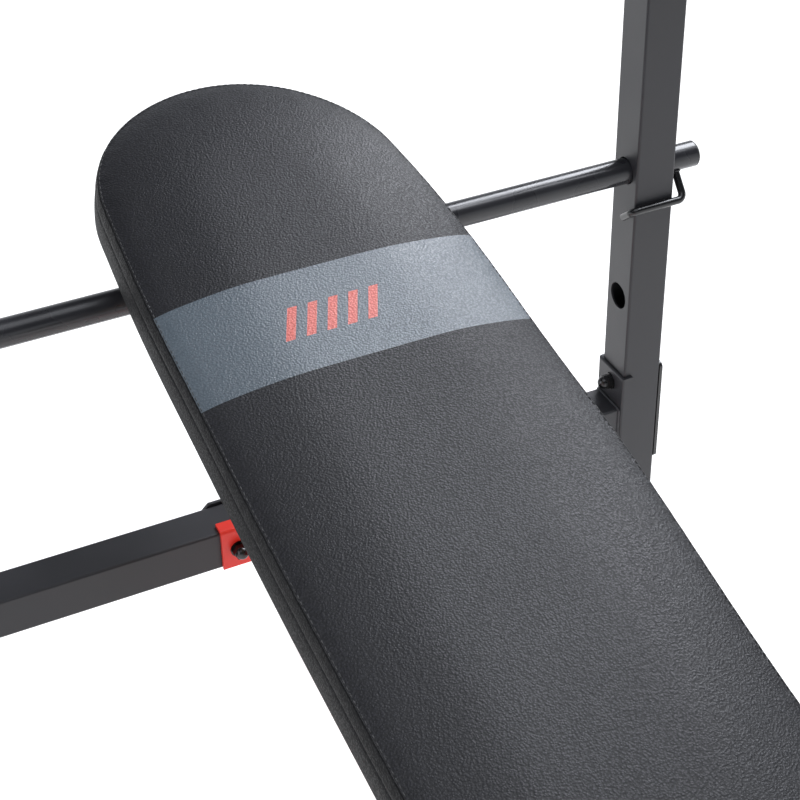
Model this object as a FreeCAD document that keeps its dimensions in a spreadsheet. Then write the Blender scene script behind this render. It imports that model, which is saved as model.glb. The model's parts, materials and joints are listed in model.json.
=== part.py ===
import FreeCAD, Part
import math
import os
import re
import Sketcher
from FreeCAD import Placement, Rotation, Vector

# An adjustable bench press for an olympic bar. Two square uprights, each with a floor
# tube behind its foot, are tied by a low cross tube. A main beam runs forward from the cross
# tube to a front post, which carries the hinge of a one-piece padded board. The
# board rests on a round support bar that passes through both uprights.
#
# Frame: +X to the right and +Y towards the head of somebody lying on the pad, +Z up,
# origin on the floor under the middle of the bench. The padded board has its own
# directions: "along" runs up the slope towards the head and "above" is square to it,
# both counted from the axis of the support bar.

SIZES = (
    ("tube_side", 50, "square frame tube, outer side"),
    ("tube_wall", 2.5, "square frame tube, wall"),
    ("tube_corner", 3, "square frame tube, outer corner radius"),
    ("upright_x", 465, "centre plane of an upright, from the middle"),
    ("upright_y", 371.7, "centre plane of both uprights"),
    ("upright_top", 840, "top of an upright above the floor"),
    ("bar_z", 500, "support bar axis above the floor"),
    ("bar_radius", 15, "support bar"),
    ("bar_wall", 2, "support bar, wall"),
    ("bar_length", 1062, "support bar, end to end"),
    ("bar_plug_head", 3, "end plugs of that bar, outside the tube"),
    ("bar_plug_depth", 18, "end plugs of that bar, inside the tube"),
    ("bar_plug_edge", 1.5, "chamfer of those plugs"),
    ("bar_hole_radius", 16.25, "holes for the support bar"),
    ("low_hole_drop", 170, "from the upper bar hole to the lower one"),
    ("cap_wall", 4, "foot cap, floor and sides"),
    ("cap_length", 45, "foot cap, along its tube"),
    ("cap_grip", 40, "depth of a foot cap's socket"),
    ("base_reach", 230, "rear end of a side floor tube, behind its upright's centre"),
    ("foot_plug_depth", 20, "plug under an upright, inside the tube"),
    ("front_foot_length", 420, "front floor tube"),
    ("cross_z", 155, "cross tube axis above the floor"),
    ("plate", 4, "bracket plate thickness"),
    ("bracket_height", 142, "brackets at the uprights"),
    ("backing_height", 143, "plates outside the uprights"),
    ("backing_rise", 3.5, "middle of those plates above the cross tube axis"),
    ("backing_corner", 6, "corner radius of those plates"),
    ("bracket_flange", 10, "how far a bracket wraps an upright"),
    ("bolt_rise", 52, "bracket bolts above and below the cross tube axis"),
    ("bolt_radius", 5, "M10 frame bolts"),
    ("bolt_hole", 5.5, "holes for the frame bolts"),
    ("hex_radius", 9.5, "corner radius of M10 heads and nuts"),
    ("head_height", 6.5, "bolt head"),
    ("nut_height", 8, "hexagon of an acorn nut"),
    ("nut_dome", 7.6, "dome radius of an acorn nut"),
    ("washer_radius", 10.5, "frame washers"),
    ("washer_thickness", 1.6, "frame washers"),
    ("beam_plate_width", 164, "bracket of the main beam"),
    ("beam_lip", 18, "lip of that bracket over the cross tube"),
    ("beam_bolt_x", 62, "bolts of that bracket, from the middle"),
    ("rear_plate_width", 180, "plate behind the cross tube"),
    ("rear_plate_rise", 3, "how far that plate stands above the tube"),
    ("rear_plate_cut", 14, "cut corners of that plate"),
    ("incline", 12, "slope of the padded board, degrees"),
    ("pad_half_width", 173, "padded board, middle to side"),
    ("pad_head", 172, "head end of the board, along"),
    ("pad_front", 978, "front end of the board, along, below the bar"),
    ("pad_straight", 220, "where the sides begin to curve in, below the bar"),
    ("pad_head_radius", 160, "round head end"),
    ("pad_corner", 40, "front corners of the outline"),
    ("pad_under", 55.2, "underside of the board, above the bar axis"),
    ("pad_thickness", 62.8, "cushion, underside to the top of its crown"),
    ("pad_crown", 14, "rounding of the top edge"),
    ("pad_lower_edge", 5, "rounding of the lower edge"),
    ("board_inset", 5, "plywood board inside the cover"),
    ("board_thickness", 12, "plywood board"),
    ("rail_x", 85, "centre plane of a rail, from the middle"),
    ("rail_width", 20, "rail tube, across"),
    ("rail_height", 40, "rail tube, upright"),
    ("rail_wall", 1.5, "rail tube, wall"),
    ("rail_head", 95, "head end of the rails, along"),
    ("rail_front", 845, "front end of the rails, below the bar"),
    ("brace_at_head", 70, "head brace between the rails, along"),
    ("brace_at_middle", 430, "middle brace, below the bar"),
    ("hinge_along", 815, "hinge axis, below the bar"),
    ("hinge_above", 35.2, "hinge axis, above the bar axis"),
    ("sleeve_radius", 12.7, "hinge sleeve"),
    ("sleeve_length", 140, "hinge sleeve"),
    ("bush_radius", 9, "bore of the sleeve and bush outside"),
    ("bush_bore", 6.05, "bush inside, a running fit on the bolt"),
    ("bush_flange", 12, "bush flange radius"),
    ("bush_depth", 18, "bush inside the sleeve"),
    ("bush_play", 0.3, "bush flange to rail"),
    ("hinge_bolt_radius", 6, "M12 hinge bolt"),
    ("hinge_hex_radius", 10.5, "corner radius of its head and nut"),
    ("hinge_head", 7.5, "head of the hinge bolt"),
    ("hinge_nut_height", 12, "lock nut of the hinge bolt"),
    ("post_gap", 8, "top of the front post below the hinge axis"),
    ("pad_bolt_radius", 4, "M8 bolts that hold the board"),
    ("pad_hex_radius", 7.4, "corner radius of their heads"),
    ("pad_bolt_head", 5.3, "heads of those bolts"),
    ("pad_bolt_engaged", 9, "those bolts inside the board"),
    ("tee_barrel", 5, "barrel radius of a tee nut"),
    ("tee_flange", 11, "flange radius of a tee nut"),
    ("tee_plate", 1.5, "flange thickness of a tee nut"),
    ("rail_plug_head", 2.5, "rail plugs, outside the rail"),
    ("rail_plug_depth", 14, "rail plugs, inside the rail"),
    ("post_side", 40, "catch post, outer side"),
    ("post_wall", 2, "catch post, wall"),
    ("post_bottom", 525, "foot of a catch post at its lowest setting"),
    ("post_length", 460, "catch post"),
    ("pin_z", 800, "locking pin above the floor"),
    ("pin_radius", 5, "locking pin"),
    ("pin_pitch", 40, "between the height settings"),
    ("pin_settings", 7, "number of height settings"),
    ("collar_gap", 0.3, "guide collar to post"),
    ("collar_head", 5, "guide collar, above the upright"),
    ("collar_skirt", 25, "guide collar, inside the upright"),
    ("post_cap", 4, "cap of a catch post"),
    ("post_plug_depth", 18, "plugs of a catch post, inside it"),
    ("shoe", 5, "guide shoe below a catch post"),
    ("housing_bore", 8, "pin housing, inside radius"),
    ("housing_radius", 11, "pin housing, outside radius"),
    ("housing_length", 32, "pin housing, behind the upright"),
    ("housing_end", 4, "end wall of the pin housing"),
    ("pin_reach", 13, "locking pin, in front of the upright's rear face"),
    ("pin_tail", 46, "locking pin, behind that face"),
    ("pin_collar", 7.8, "collar radius of a locking pin"),
    ("pin_collar_start", 3, "that collar, behind the upright's rear face"),
    ("pin_collar_end", 6, "far side of that collar"),
    ("spring_start", 7, "near end of the spring, behind the rear face"),
    ("knob_neck", 9, "neck radius of a pin knob"),
    ("knob_radius", 16, "grip radius of a pin knob"),
    ("knob_start", 32.5, "near end of a knob, behind the rear face"),
    ("knob_grip_start", 42, "near end of its grip"),
    ("knob_end", 56, "far end of a knob"),
    ("catch_width", 50, "bar catch, across"),
    ("catch_plate", 6, "bar catch, plate"),
    ("catch_gap", 56, "bar catch, clear width before its liner"),
    ("catch_floor", 395, "underside of a catch, above the foot of its post"),
    ("catch_back", 70, "catch back plate above its floor"),
    ("catch_lip", 42, "catch front lip above its floor"),
    ("catch_bend", 12, "inside bend radius of a catch"),
    ("liner", 3, "plastic liner of a catch"),
    ("liner_margin", 2, "liner short of the catch on each side"),
    ("liner_back_drop", 8, "liner short of the back plate's top"),
    ("liner_lip_drop", 4, "liner short of the lip's top"),
    ("bail_radius", 4.5, "bail wire"),
    ("bail_leg_x", 501, "leg of the bail, from the middle"),
    ("bail_tip_x", 434, "hooked tip of the bail, from the middle"),
    ("bail_front", 30.5, "cross wire of the bail, in front of the bar axis"),
    ("bail_drop", 37, "cross wire of the bail, below the bar axis"),
    ("bail_tip_front", 11, "end of the tip, in front of the bar axis"),
    ("bail_tip_drop", 54, "end of the tip, below the bar axis"),
    ("bail_bend", 8, "bends of the bail wire"),
)

doc = FreeCAD.newDocument("olympic_bench_press")
sheet = doc.addObject("Spreadsheet::Sheet", "Sizes")
for row, (alias, number, meaning) in enumerate(SIZES, start=1):
    sheet.set(f"A{row}", meaning)
    sheet.set(f"B{row}", str(number))
    sheet.setAlias(f"B{row}", alias)
doc.recompute()

SIDES = (("left", -1), ("right", 1))
ALONG_X = Rotation(Vector(0, 1, 0), 90)
ALONG_Y = Rotation(Vector(1, 0, 0), -90)
subparts = []


# ---- Building blocks ---------------------------------------------------------

def value(expression):
    """The number that an expression of the sheet's names stands for."""
    return float(sheet.evalExpression(str(expression)))


def bind(thing, path, expression):
    """Ties a property to an expression of the sheet's names."""
    named = re.sub(r"(?<![\w.])([a-z][a-z_0-9]*)\b(?!\s*\()", r"Sizes.\1", str(expression))
    thing.setExpression(path, named)


def place(thing, x, y, z, rotation=Rotation(), tilt=None):
    """Puts a thing at an expression for each coordinate, and ties them."""
    thing.Placement = Placement(Vector(value(x), value(y), value(z)), rotation)
    for axis, expression in zip("xyz", (x, y, z)):
        bind(thing, f"Placement.Base.{axis}", expression)
    if tilt is not None:
        thing.Placement.Rotation = Rotation(Vector(1, 0, 0), value(tilt))
        bind(thing, "Placement.Rotation.Angle", tilt)
    return thing


def place_on_board(thing, x, along, above, turn=0):
    """Puts a thing in the sloping board's own directions."""
    y = f"upright_y + ({along}) * cos(incline) - ({above}) * sin(incline)"
    z = f"bar_z + ({along}) * sin(incline) + ({above}) * cos(incline)"
    return place(thing, x, y, z, tilt=f"incline + {turn}")


def keep(thing, label):
    """Names a finished sub-part and lists it for export."""
    thing.Label = label
    subparts.append(thing)
    return thing


def new_body(name):
    return doc.addObject("PartDesign::Body", name)


def new_sketch(body, role, lift=None):
    """A sketch on one of the body's own origin planes, lifted off it if asked."""
    sketch = body.newObject("Sketcher::SketchObject", f"{body.Name}_sketch")
    plane = [feature for feature in body.Origin.OriginFeatures if feature.Role == role][0]
    sketch.AttachmentSupport = [(plane, "")]
    sketch.MapMode = "FlatFace"
    if lift is not None:
        bind(sketch, "AttachmentOffset.Base.z", lift)
    return sketch


def dimension(sketch, kind, *where):
    """Adds a sketch dimension whose last argument is an expression."""
    expression = where[-1]
    index = sketch.addConstraint(Sketcher.Constraint(kind, *where[:-1], value(expression)))
    bind(sketch, f"Constraints[{index}]", expression)


def polygon(sketch, points):
    """A closed outline through points, each an expression for x and one for y."""
    corners = [Vector(value(x), value(y), 0) for x, y in points]
    count = len(corners)
    lines = [sketch.addGeometry(Part.LineSegment(corners[i], corners[(i + 1) % count]))
             for i in range(count)]
    for i in range(count):
        following = lines[(i + 1) % count]
        sketch.addConstraint(Sketcher.Constraint("Coincident", lines[i], 2, following, 1))
    for line, (x, y) in zip(lines, points):
        dimension(sketch, "DistanceX", -1, 1, line, 1, x)
        dimension(sketch, "DistanceY", -1, 1, line, 1, y)


def rounded_rectangle(sketch, width, height, radius):
    """A rectangle about the sketch's origin, with round corners."""
    half_w = value(width) / 2
    half_h = value(height) / 2
    r = value(radius)
    sides = []
    arcs = []
    for turn in range(4):
        # Side and corner of a box that is turned a quarter at a time.
        a, b = (half_w, half_h) if turn % 2 == 0 else (half_h, half_w)
        spin = Rotation(Vector(0, 0, 1), 90 * turn)
        start = spin.multVec(Vector(a, -b + r, 0))
        end = spin.multVec(Vector(a, b - r, 0))
        centre = spin.multVec(Vector(a - r, b - r, 0))
        sides.append(sketch.addGeometry(Part.LineSegment(start, end)))
        circle = Part.Circle(centre, Vector(0, 0, 1), r)
        first = math.radians(90 * turn)
        arc = Part.ArcOfCircle(circle, first, first + math.pi / 2)
        arcs.append(sketch.addGeometry(arc))
    for turn in range(4):
        after = (turn + 1) % 4
        sketch.addConstraint(Sketcher.Constraint("Tangent", sides[turn], 2, arcs[turn], 1))
        sketch.addConstraint(Sketcher.Constraint("Tangent", arcs[turn], 2, sides[after], 1))
    for arc in arcs[1:]:
        sketch.addConstraint(Sketcher.Constraint("Equal", arcs[0], arc))
    for side, kind in zip(sides, ("Vertical", "Horizontal", "Vertical", "Horizontal")):
        sketch.addConstraint(Sketcher.Constraint(kind, side))
    sketch.addConstraint(Sketcher.Constraint("Symmetric", arcs[0], 3, arcs[2], 3, -1, 1))
    dimension(sketch, "Radius", arcs[0], radius)
    dimension(sketch, "DistanceX", sides[2], 1, sides[0], 1, width)
    dimension(sketch, "DistanceY", sides[3], 1, sides[1], 1, height)


def circle(sketch, x, y, radius):
    centre = Vector(value(x), value(y), 0)
    ring = sketch.addGeometry(Part.Circle(centre, Vector(0, 0, 1), value(radius)))
    dimension(sketch, "DistanceX", -1, 1, ring, 3, x)
    dimension(sketch, "DistanceY", -1, 1, ring, 3, y)
    dimension(sketch, "Radius", ring, radius)


def pad(body, sketch, length, both_ways=False):
    extrusion = body.newObject("PartDesign::Pad", f"{body.Name}_pad")
    extrusion.Profile = sketch
    if both_ways:
        extrusion.SideType = "Symmetric"
    bind(extrusion, "Length", length)
    sketch.Visibility = False
    doc.recompute()
    return extrusion


def pocket(body, sketch, depth=None):
    """Cuts a sketch right through both ways, or to a depth into the solid."""
    before = body.Shape.Volume
    cut = body.newObject("PartDesign::Pocket", f"{body.Name}_pocket")
    cut.Profile = sketch
    if depth is None:
        cut.Type = "ThroughAll"
        cut.SideType = "Symmetric"
    else:
        bind(cut, "Length", depth)
    doc.recompute()
    if depth is not None and body.Shape.Volume > before - 1e-3:
        cut.Reversed = True
        doc.recompute()
    if body.Shape.Volume > before - 1e-3:
        raise ValueError(f"{cut.Name} cuts nothing")
    return cut


def drill(body, role, centres, radius, depth=None, lift=None):
    """Round holes square to one of the body's planes."""
    sketch = new_sketch(body, role, lift)
    for x, y in centres:
        circle(sketch, x, y, radius)
    return pocket(body, sketch, depth)


def fillet(body, radius, wanted):
    """Rounds the edges of the body's tip that the test picks."""
    tip = body.Tip
    names = [f"Edge{i}" for i, edge in enumerate(tip.Shape.Edges, start=1) if wanted(edge)]
    rounding = body.newObject("PartDesign::Fillet", f"{body.Name}_fillet")
    rounding.Base = (tip, names)
    bind(rounding, "Radius", radius)
    doc.recompute()
    return rounding


def turned(name, profile):
    """A lathe part about its own Z, from points of radius and height."""
    body = new_body(name)
    sketch = new_sketch(body, "XZ_Plane")
    polygon(sketch, profile)
    solid = body.newObject("PartDesign::Revolution", f"{name}_turn")
    solid.Profile = sketch
    solid.ReferenceAxis = (sketch, ["V_Axis"])
    solid.Angle = 360
    sketch.Visibility = False
    doc.recompute()
    return body


def tube(name, length, side="tube_side", wall="tube_wall", corner="tube_corner",
         height=None):
    """A rectangular tube that runs up its own Z from the origin."""
    height = height or side
    body = new_body(name)
    section = new_sketch(body, "XY_Plane")
    rounded_rectangle(section, side, height, corner)
    rounded_rectangle(section, f"{side} - 2 * {wall}", f"{height} - 2 * {wall}",
                      f"max({corner} - {wall}; 0.5)")
    pad(body, section, length)
    return body


def plate(name, points, thickness, role="YZ_Plane"):
    """A flat plate of the given outline, centred on one of its own planes."""
    body = new_body(name)
    outline = new_sketch(body, role)
    polygon(outline, points)
    pad(body, outline, thickness, both_ways=True)
    return body


def group(label, members):
    """One sub-part made of several separate identical solids."""
    compound = doc.addObject("Part::Compound", label)
    compound.Links = members
    return keep(compound, label)


# ---- Fasteners ---------------------------------------------------------------

def hex_bolt(name, length, radius="bolt_radius", corner="hex_radius", head="head_height"):
    """A hexagon bolt whose head stands below its own XY plane, shank upwards."""
    prism = doc.addObject("Part::Prism", f"{name}_head")
    prism.Polygon = 6
    bind(prism, "Circumradius", corner)
    bind(prism, "Height", head)
    place(prism, "0", "0", f"-{head}")
    shank = doc.addObject("Part::Cylinder", f"{name}_shank")
    bind(shank, "Radius", radius)
    bind(shank, "Height", f"{length} + 1")
    place(shank, "0", "0", "-1")
    bolt = doc.addObject("Part::Fuse", name)
    bolt.Base = prism
    bolt.Tool = shank
    return bolt


def acorn_nut(name):
    """A domed cap nut standing on its own XY plane, with a blind bore."""
    prism = doc.addObject("Part::Prism", f"{name}_hexagon")
    prism.Polygon = 6
    bind(prism, "Circumradius", "hex_radius")
    bind(prism, "Height", "nut_height")
    dome = doc.addObject("Part::Sphere", f"{name}_dome")
    bind(dome, "Radius", "nut_dome")
    dome.Angle1 = 0
    place(dome, "0", "0", "nut_height - 0.5")
    nut = doc.addObject("Part::Fuse", f"{name}_solid")
    nut.Base = prism
    nut.Tool = dome
    bore = doc.addObject("Part::Cylinder", f"{name}_bore")
    bind(bore, "Radius", "bolt_radius")
    bind(bore, "Height", "nut_height + 1")
    place(bore, "0", "0", "-1")
    bored = doc.addObject("Part::Cut", name)
    bored.Base = nut
    bored.Tool = bore
    return bored


def washer(name, outer="washer_radius", inner="bolt_hole", thickness="washer_thickness"):
    """A flat ring standing on its own XY plane."""
    return turned(name, [(inner, "0"), (outer, "0"), (outer, thickness), (inner, thickness)])


# ---- Side frames -------------------------------------------------------------

floor_axis = "cap_wall + tube_side / 2"
post_foot = "cap_wall + tube_side"


def foot_cap(label, x, y, rotation):
    """A plastic shoe that closes a floor tube's end and stands on the floor."""
    body = new_body(label)
    outer = new_sketch(body, "XY_Plane")
    rounded_rectangle(outer, "tube_side + 2 * cap_wall", "tube_side + 2 * cap_wall",
                      "tube_corner + cap_wall")
    pad(body, outer, "cap_length")
    socket = new_sketch(body, "XY_Plane")
    rounded_rectangle(socket, "tube_side", "tube_side", "tube_corner")
    pocket(body, socket, "cap_grip")
    end_z = value("cap_length")
    fillet(body, "cap_wall / 2", lambda edge: min(v.Z for v in edge.Vertexes) > end_z - 0.1)
    place(body, x, y, floor_axis, rotation)
    return keep(body, label)


def base_tube(side, sign):
    """The side floor tube, welded to the back of an upright's foot."""
    body = tube(f"{side}_base_tube", "base_reach - tube_side / 2")
    place(body, f"{sign} * upright_x", "upright_y + tube_side / 2", floor_axis, ALONG_Y)
    keep(body, f"{side}_base_tube")
    foot_cap(f"{side}_rear_foot", f"{sign} * upright_x", "upright_y + base_reach - cap_grip",
             ALONG_Y)


def upright_foot(side, sign):
    """The plastic plug that an upright stands on."""
    body = new_body(f"{side}_upright_foot")
    sole = new_sketch(body, "XY_Plane")
    rounded_rectangle(sole, "tube_side", "tube_side", "tube_corner")
    pad(body, sole, "cap_wall")
    stub = new_sketch(body, "XY_Plane", "cap_wall")
    inside = "tube_side - 2 * tube_wall"
    rounded_rectangle(stub, inside, inside, "0.5")
    pad(body, stub, "foot_plug_depth")
    place(body, f"{sign} * upright_x", "upright_y", "0")
    return keep(body, f"{side}_upright_foot")


def upright(side, sign):
    """The fixed post, drilled for the support bar, the cross bracket and the pin."""
    body = tube(f"{side}_upright", "upright_top - cap_wall")
    bar_holes = [("0", f"bar_z - cap_wall - {drop}") for drop in ("0", "low_hole_drop")]
    drill(body, "YZ_Plane", bar_holes, "bar_hole_radius")
    bolt_holes = [("0", f"cross_z - cap_wall {way} bolt_rise") for way in "+-"]
    drill(body, "YZ_Plane", bolt_holes, "bolt_hole")
    # The pin's hole is in the rear wall only, and XZ sketches face -Y.
    drill(body, "XZ_Plane", [("0", "pin_z - cap_wall")], "pin_radius + 0.05",
          "tube_side / 2 + 1")
    place(body, f"{sign} * upright_x", "upright_y", "cap_wall")
    return keep(body, f"{side}_upright")


def guide_collar(side, sign):
    """The plastic collar in an upright's mouth that guides the catch post."""
    body = new_body(f"{side}_guide_collar")
    flange = new_sketch(body, "XY_Plane")
    rounded_rectangle(flange, "tube_side", "tube_side", "tube_corner")
    pad(body, flange, "collar_head")
    skirt = new_sketch(body, "XY_Plane")
    inside = "tube_side - 2 * tube_wall"
    rounded_rectangle(skirt, inside, inside, "0.5")
    lower = pad(body, skirt, "collar_skirt")
    lower.Reversed = True
    doc.recompute()
    way = new_sketch(body, "XY_Plane")
    rounded_rectangle(way, "post_side + 2 * collar_gap", "post_side + 2 * collar_gap", "2.5")
    pocket(body, way)
    top_z = value("collar_head")
    way_half = value("post_side / 2 + collar_gap")
    fillet(body, "2", lambda edge: min(v.Z for v in edge.Vertexes) > top_z - 0.1
           and max(abs(v.X) for v in edge.Vertexes) > way_half + 0.1)
    place(body, f"{sign} * upright_x", "upright_y", "upright_top")
    return keep(body, f"{side}_guide_collar")


for side, sign in SIDES:
    base_tube(side, sign)
    upright(side, sign)
    upright_foot(side, sign)
    guide_collar(side, sign)


# ---- Cross tube and its brackets ----------------------------------------------

def cross_bracket(side, sign):
    """A channel, welded to the cross tube's end, that wraps an upright's inner face."""
    body = new_body(f"{side}_cross_bracket")
    section = new_sketch(body, "XY_Plane")
    outer = "tube_side / 2 + plate"
    inner = "tube_side / 2"
    polygon(section, [(f"-{sign} * plate", f"-({outer})"),
                      (f"{sign} * bracket_flange", f"-({outer})"),
                      (f"{sign} * bracket_flange", f"-{inner}"),
                      ("0", f"-{inner}"),
                      ("0", inner),
                      (f"{sign} * bracket_flange", inner),
                      (f"{sign} * bracket_flange", outer),
                      (f"-{sign} * plate", outer)])
    pad(body, section, "bracket_height", both_ways=True)
    drill(body, "YZ_Plane", [("0", "bolt_rise"), ("0", "-bolt_rise")], "bolt_hole")
    corner_x = -sign * value("plate")
    corner_y = value(outer)
    fillet(body, "3", lambda edge: all(abs(v.X - corner_x) < 0.1
                                       and abs(abs(v.Y) - corner_y) < 0.1
                                       for v in edge.Vertexes))
    place(body, f"{sign} * (upright_x - tube_side / 2)", "upright_y", "cross_z")
    return keep(body, f"{side}_cross_bracket")


def backing_plate(side, sign):
    """The plate outside the upright that the bolt heads pull on."""
    body = new_body(f"{side}_backing_plate")
    outline = new_sketch(body, "YZ_Plane")
    rounded_rectangle(outline, "tube_side", "backing_height", "backing_corner")
    pad(body, outline, "plate", both_ways=True)
    drill(body, "YZ_Plane", [("0", f"{way}bolt_rise - backing_rise") for way in ("", "-")],
          "bolt_hole")
    place(body, f"{sign} * (upright_x + tube_side / 2 + plate / 2)", "upright_y",
          "cross_z + backing_rise")
    return keep(body, f"{side}_backing_plate")


cross_half = "upright_x - tube_side / 2 - plate"
cross_tube = tube("cross_tube", f"2 * ({cross_half})")
# The local X of this tube points down once it lies along X.
drill(cross_tube, "XZ_Plane", [("0", f"{cross_half} - beam_bolt_x"),
                               ("0", f"{cross_half} + beam_bolt_x")], "bolt_hole")
place(cross_tube, f"-({cross_half})", "upright_y", "cross_z", ALONG_X)
keep(cross_tube, "cross_tube")

for side, sign in SIDES:
    cross_bracket(side, sign)
    backing_plate(side, sign)


# ---- Main beam, its bracket and the front post ---------------------------------

front_y = "upright_y - hinge_along * cos(incline) - hinge_above * sin(incline)"
hinge_z = "bar_z - hinge_along * sin(incline) + hinge_above * cos(incline)"
half_tube = "tube_side / 2"


def beam_bracket():
    """The angle welded to the beam's end: a face on the cross tube and a lip over it."""
    face = f"-({half_tube}) - plate"
    body = plate("beam_bracket",
                 [(face, f"-({half_tube})"),
                  (f"-({half_tube})", f"-({half_tube})"),
                  (f"-({half_tube})", half_tube),
                  (f"beam_lip - ({half_tube}) - plate", half_tube),
                  (f"beam_lip - ({half_tube}) - plate", f"{half_tube} + plate"),
                  (face, f"{half_tube} + plate")], "beam_plate_width")
    drill(body, "XZ_Plane", [("beam_bolt_x", "0"), ("-beam_bolt_x", "0")], "bolt_hole")
    fold_y = value(face)
    fold_z = value(f"{half_tube} + plate")
    fillet(body, "plate", lambda edge: all(abs(v.Y - fold_y) < 0.1
                                           and abs(v.Z - fold_z) < 0.1
                                           for v in edge.Vertexes))
    place(body, "0", "upright_y", "cross_z")
    return keep(body, "beam_bracket")


def beam_rear_plate():
    """The loose plate behind the cross tube that the beam's bolts pull on."""
    side_x = "rear_plate_width / 2"
    top = f"{half_tube} + rear_plate_rise"
    cut = "rear_plate_cut"
    body = plate("beam_rear_plate",
                 [(f"-{side_x}", f"{cut} - ({half_tube})"),
                  (f"{cut} - {side_x}", f"-({half_tube})"),
                  (f"{side_x} - {cut}", f"-({half_tube})"),
                  (side_x, f"{cut} - ({half_tube})"),
                  (side_x, f"{top} - {cut}"),
                  (f"{side_x} - {cut}", top),
                  (f"{cut} - {side_x}", top),
                  (f"-{side_x}", f"{top} - {cut}")], "plate", role="XZ_Plane")
    drill(body, "XZ_Plane", [("beam_bolt_x", "0"), ("-beam_bolt_x", "0")], "bolt_hole")
    place(body, "0", f"upright_y + {half_tube} + plate / 2", "cross_z")
    return keep(body, "beam_rear_plate")


def main_beam():
    """The spine, from the front post's rear face to the bracket on the cross tube."""
    body = tube("main_beam", f"upright_y - plate - {half_tube} - ({front_y}) - {half_tube}")
    place(body, "0", f"{front_y} + {half_tube}", "cross_z", ALONG_Y)
    return keep(body, "main_beam")


def front_post():
    """The post under the hinge, coped at the top to seat the hinge sleeve."""
    top = f"{hinge_z} - post_gap - ({post_foot})"
    body = tube("front_post", top)
    cope = new_sketch(body, "YZ_Plane")
    circle(cope, "0", f"{hinge_z} - ({post_foot})", "sleeve_radius")
    pocket(body, cope)
    place(body, "0", front_y, post_foot)
    return keep(body, "front_post")


beam_bracket()
beam_rear_plate()
main_beam()
front_post()

front_floor_tube = tube("front_floor_tube", "front_foot_length")
place(front_floor_tube, "-front_foot_length / 2", front_y, floor_axis, ALONG_X)
keep(front_floor_tube, "front_floor_tube")
for side, sign in SIDES:
    foot_cap(f"front_{side}_foot", f"{sign} * (front_foot_length / 2 - cap_grip)", front_y,
             Rotation(Vector(0, 1, 0), 90 * sign))


# ---- Frame bolts ---------------------------------------------------------------

def frame_fasteners():
    """Six equal M10 bolts: two through each upright and two through the cross tube."""
    stations = []
    for side, sign in SIDES:
        for way in "+-":
            # Heads outside the upright, cap nuts on the side of the cross tube.
            stations.append((f"{sign} * (upright_x + {half_tube} + plate)",
                             "upright_y", f"cross_z {way} bolt_rise",
                             Rotation(Vector(0, 1, 0), -90 * sign), (-sign, 0)))
    for sign in (-1, 1):
        stations.append((f"{sign} * beam_bolt_x", f"upright_y + {half_tube} + plate",
                         "cross_z", Rotation(Vector(1, 0, 0), 90), (0, -1)))
    grip = "tube_side + 2 * plate"
    bolts = []
    washers = []
    nuts = []
    for number, (x, y, z, turn, (run_x, run_y)) in enumerate(stations, start=1):
        bolt = hex_bolt(f"frame_bolt_{number}", f"{grip} + washer_thickness + nut_height - 1")
        bolts.append(place(bolt, x, y, z, turn))
        far_x = f"{x} + {run_x} * ({grip})"
        far_y = f"{y} + {run_y} * ({grip})"
        washers.append(place(washer(f"frame_washer_{number}"), far_x, far_y, z, turn))
        nut_x = f"{far_x} + {run_x} * washer_thickness"
        nut_y = f"{far_y} + {run_y} * washer_thickness"
        nuts.append(place(acorn_nut(f"frame_nut_{number}"), nut_x, nut_y, z, turn))
    group("frame_bolts", bolts)
    group("frame_washers", washers)
    group("frame_nuts", nuts)


frame_fasteners()


# ---- Hinge ---------------------------------------------------------------------

hinge_sleeve = turned("hinge_sleeve", [("bush_radius", "-sleeve_length / 2"),
                                       ("sleeve_radius", "-sleeve_length / 2"),
                                       ("sleeve_radius", "sleeve_length / 2"),
                                       ("bush_radius", "sleeve_length / 2")])
place(hinge_sleeve, "0", front_y, hinge_z, ALONG_X)
keep(hinge_sleeve, "hinge_sleeve")

rail_inner = "rail_x - rail_width / 2"
rail_outer = "rail_x + rail_width / 2"
flange_height = f"{rail_inner} - sleeve_length / 2 - bush_play"
for side, sign in SIDES:
    # The flange fills the gap to the rail but for the play; the barrel sits in the sleeve.
    bush = turned(f"{side}_hinge_bush", [("bush_bore", "-bush_depth"),
                                         ("bush_radius", "-bush_depth"),
                                         ("bush_radius", "0"),
                                         ("bush_flange", "0"),
                                         ("bush_flange", flange_height),
                                         ("bush_bore", flange_height)])
    place(bush, f"{sign} * sleeve_length / 2", front_y, hinge_z,
          Rotation(Vector(0, 1, 0), 90 * sign))
    keep(bush, f"{side}_hinge_bush")

hinge_bolt = hex_bolt("hinge_bolt", f"2 * ({rail_outer}) + hinge_nut_height + 2",
                      "hinge_bolt_radius", "hinge_hex_radius", "hinge_head")
place(hinge_bolt, f"-({rail_outer})", front_y, hinge_z, ALONG_X)
keep(hinge_bolt, "hinge_bolt")

hinge_nut = doc.addObject("Part::Cut", "hinge_nut")
nut_prism = doc.addObject("Part::Prism", "hinge_nut_hexagon")
nut_prism.Polygon = 6
bind(nut_prism, "Circumradius", "hinge_hex_radius")
bind(nut_prism, "Height", "hinge_nut_height")
nut_bore = doc.addObject("Part::Cylinder", "hinge_nut_bore")
bind(nut_bore, "Radius", "hinge_bolt_radius")
bind(nut_bore, "Height", "hinge_nut_height + 4")
place(nut_bore, "0", "0", "-2")
hinge_nut.Base = nut_prism
hinge_nut.Tool = nut_bore
place(hinge_nut, rail_outer, front_y, hinge_z, ALONG_X)
keep(hinge_nut, "hinge_nut")


# ---- Padded board ---------------------------------------------------------------

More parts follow.
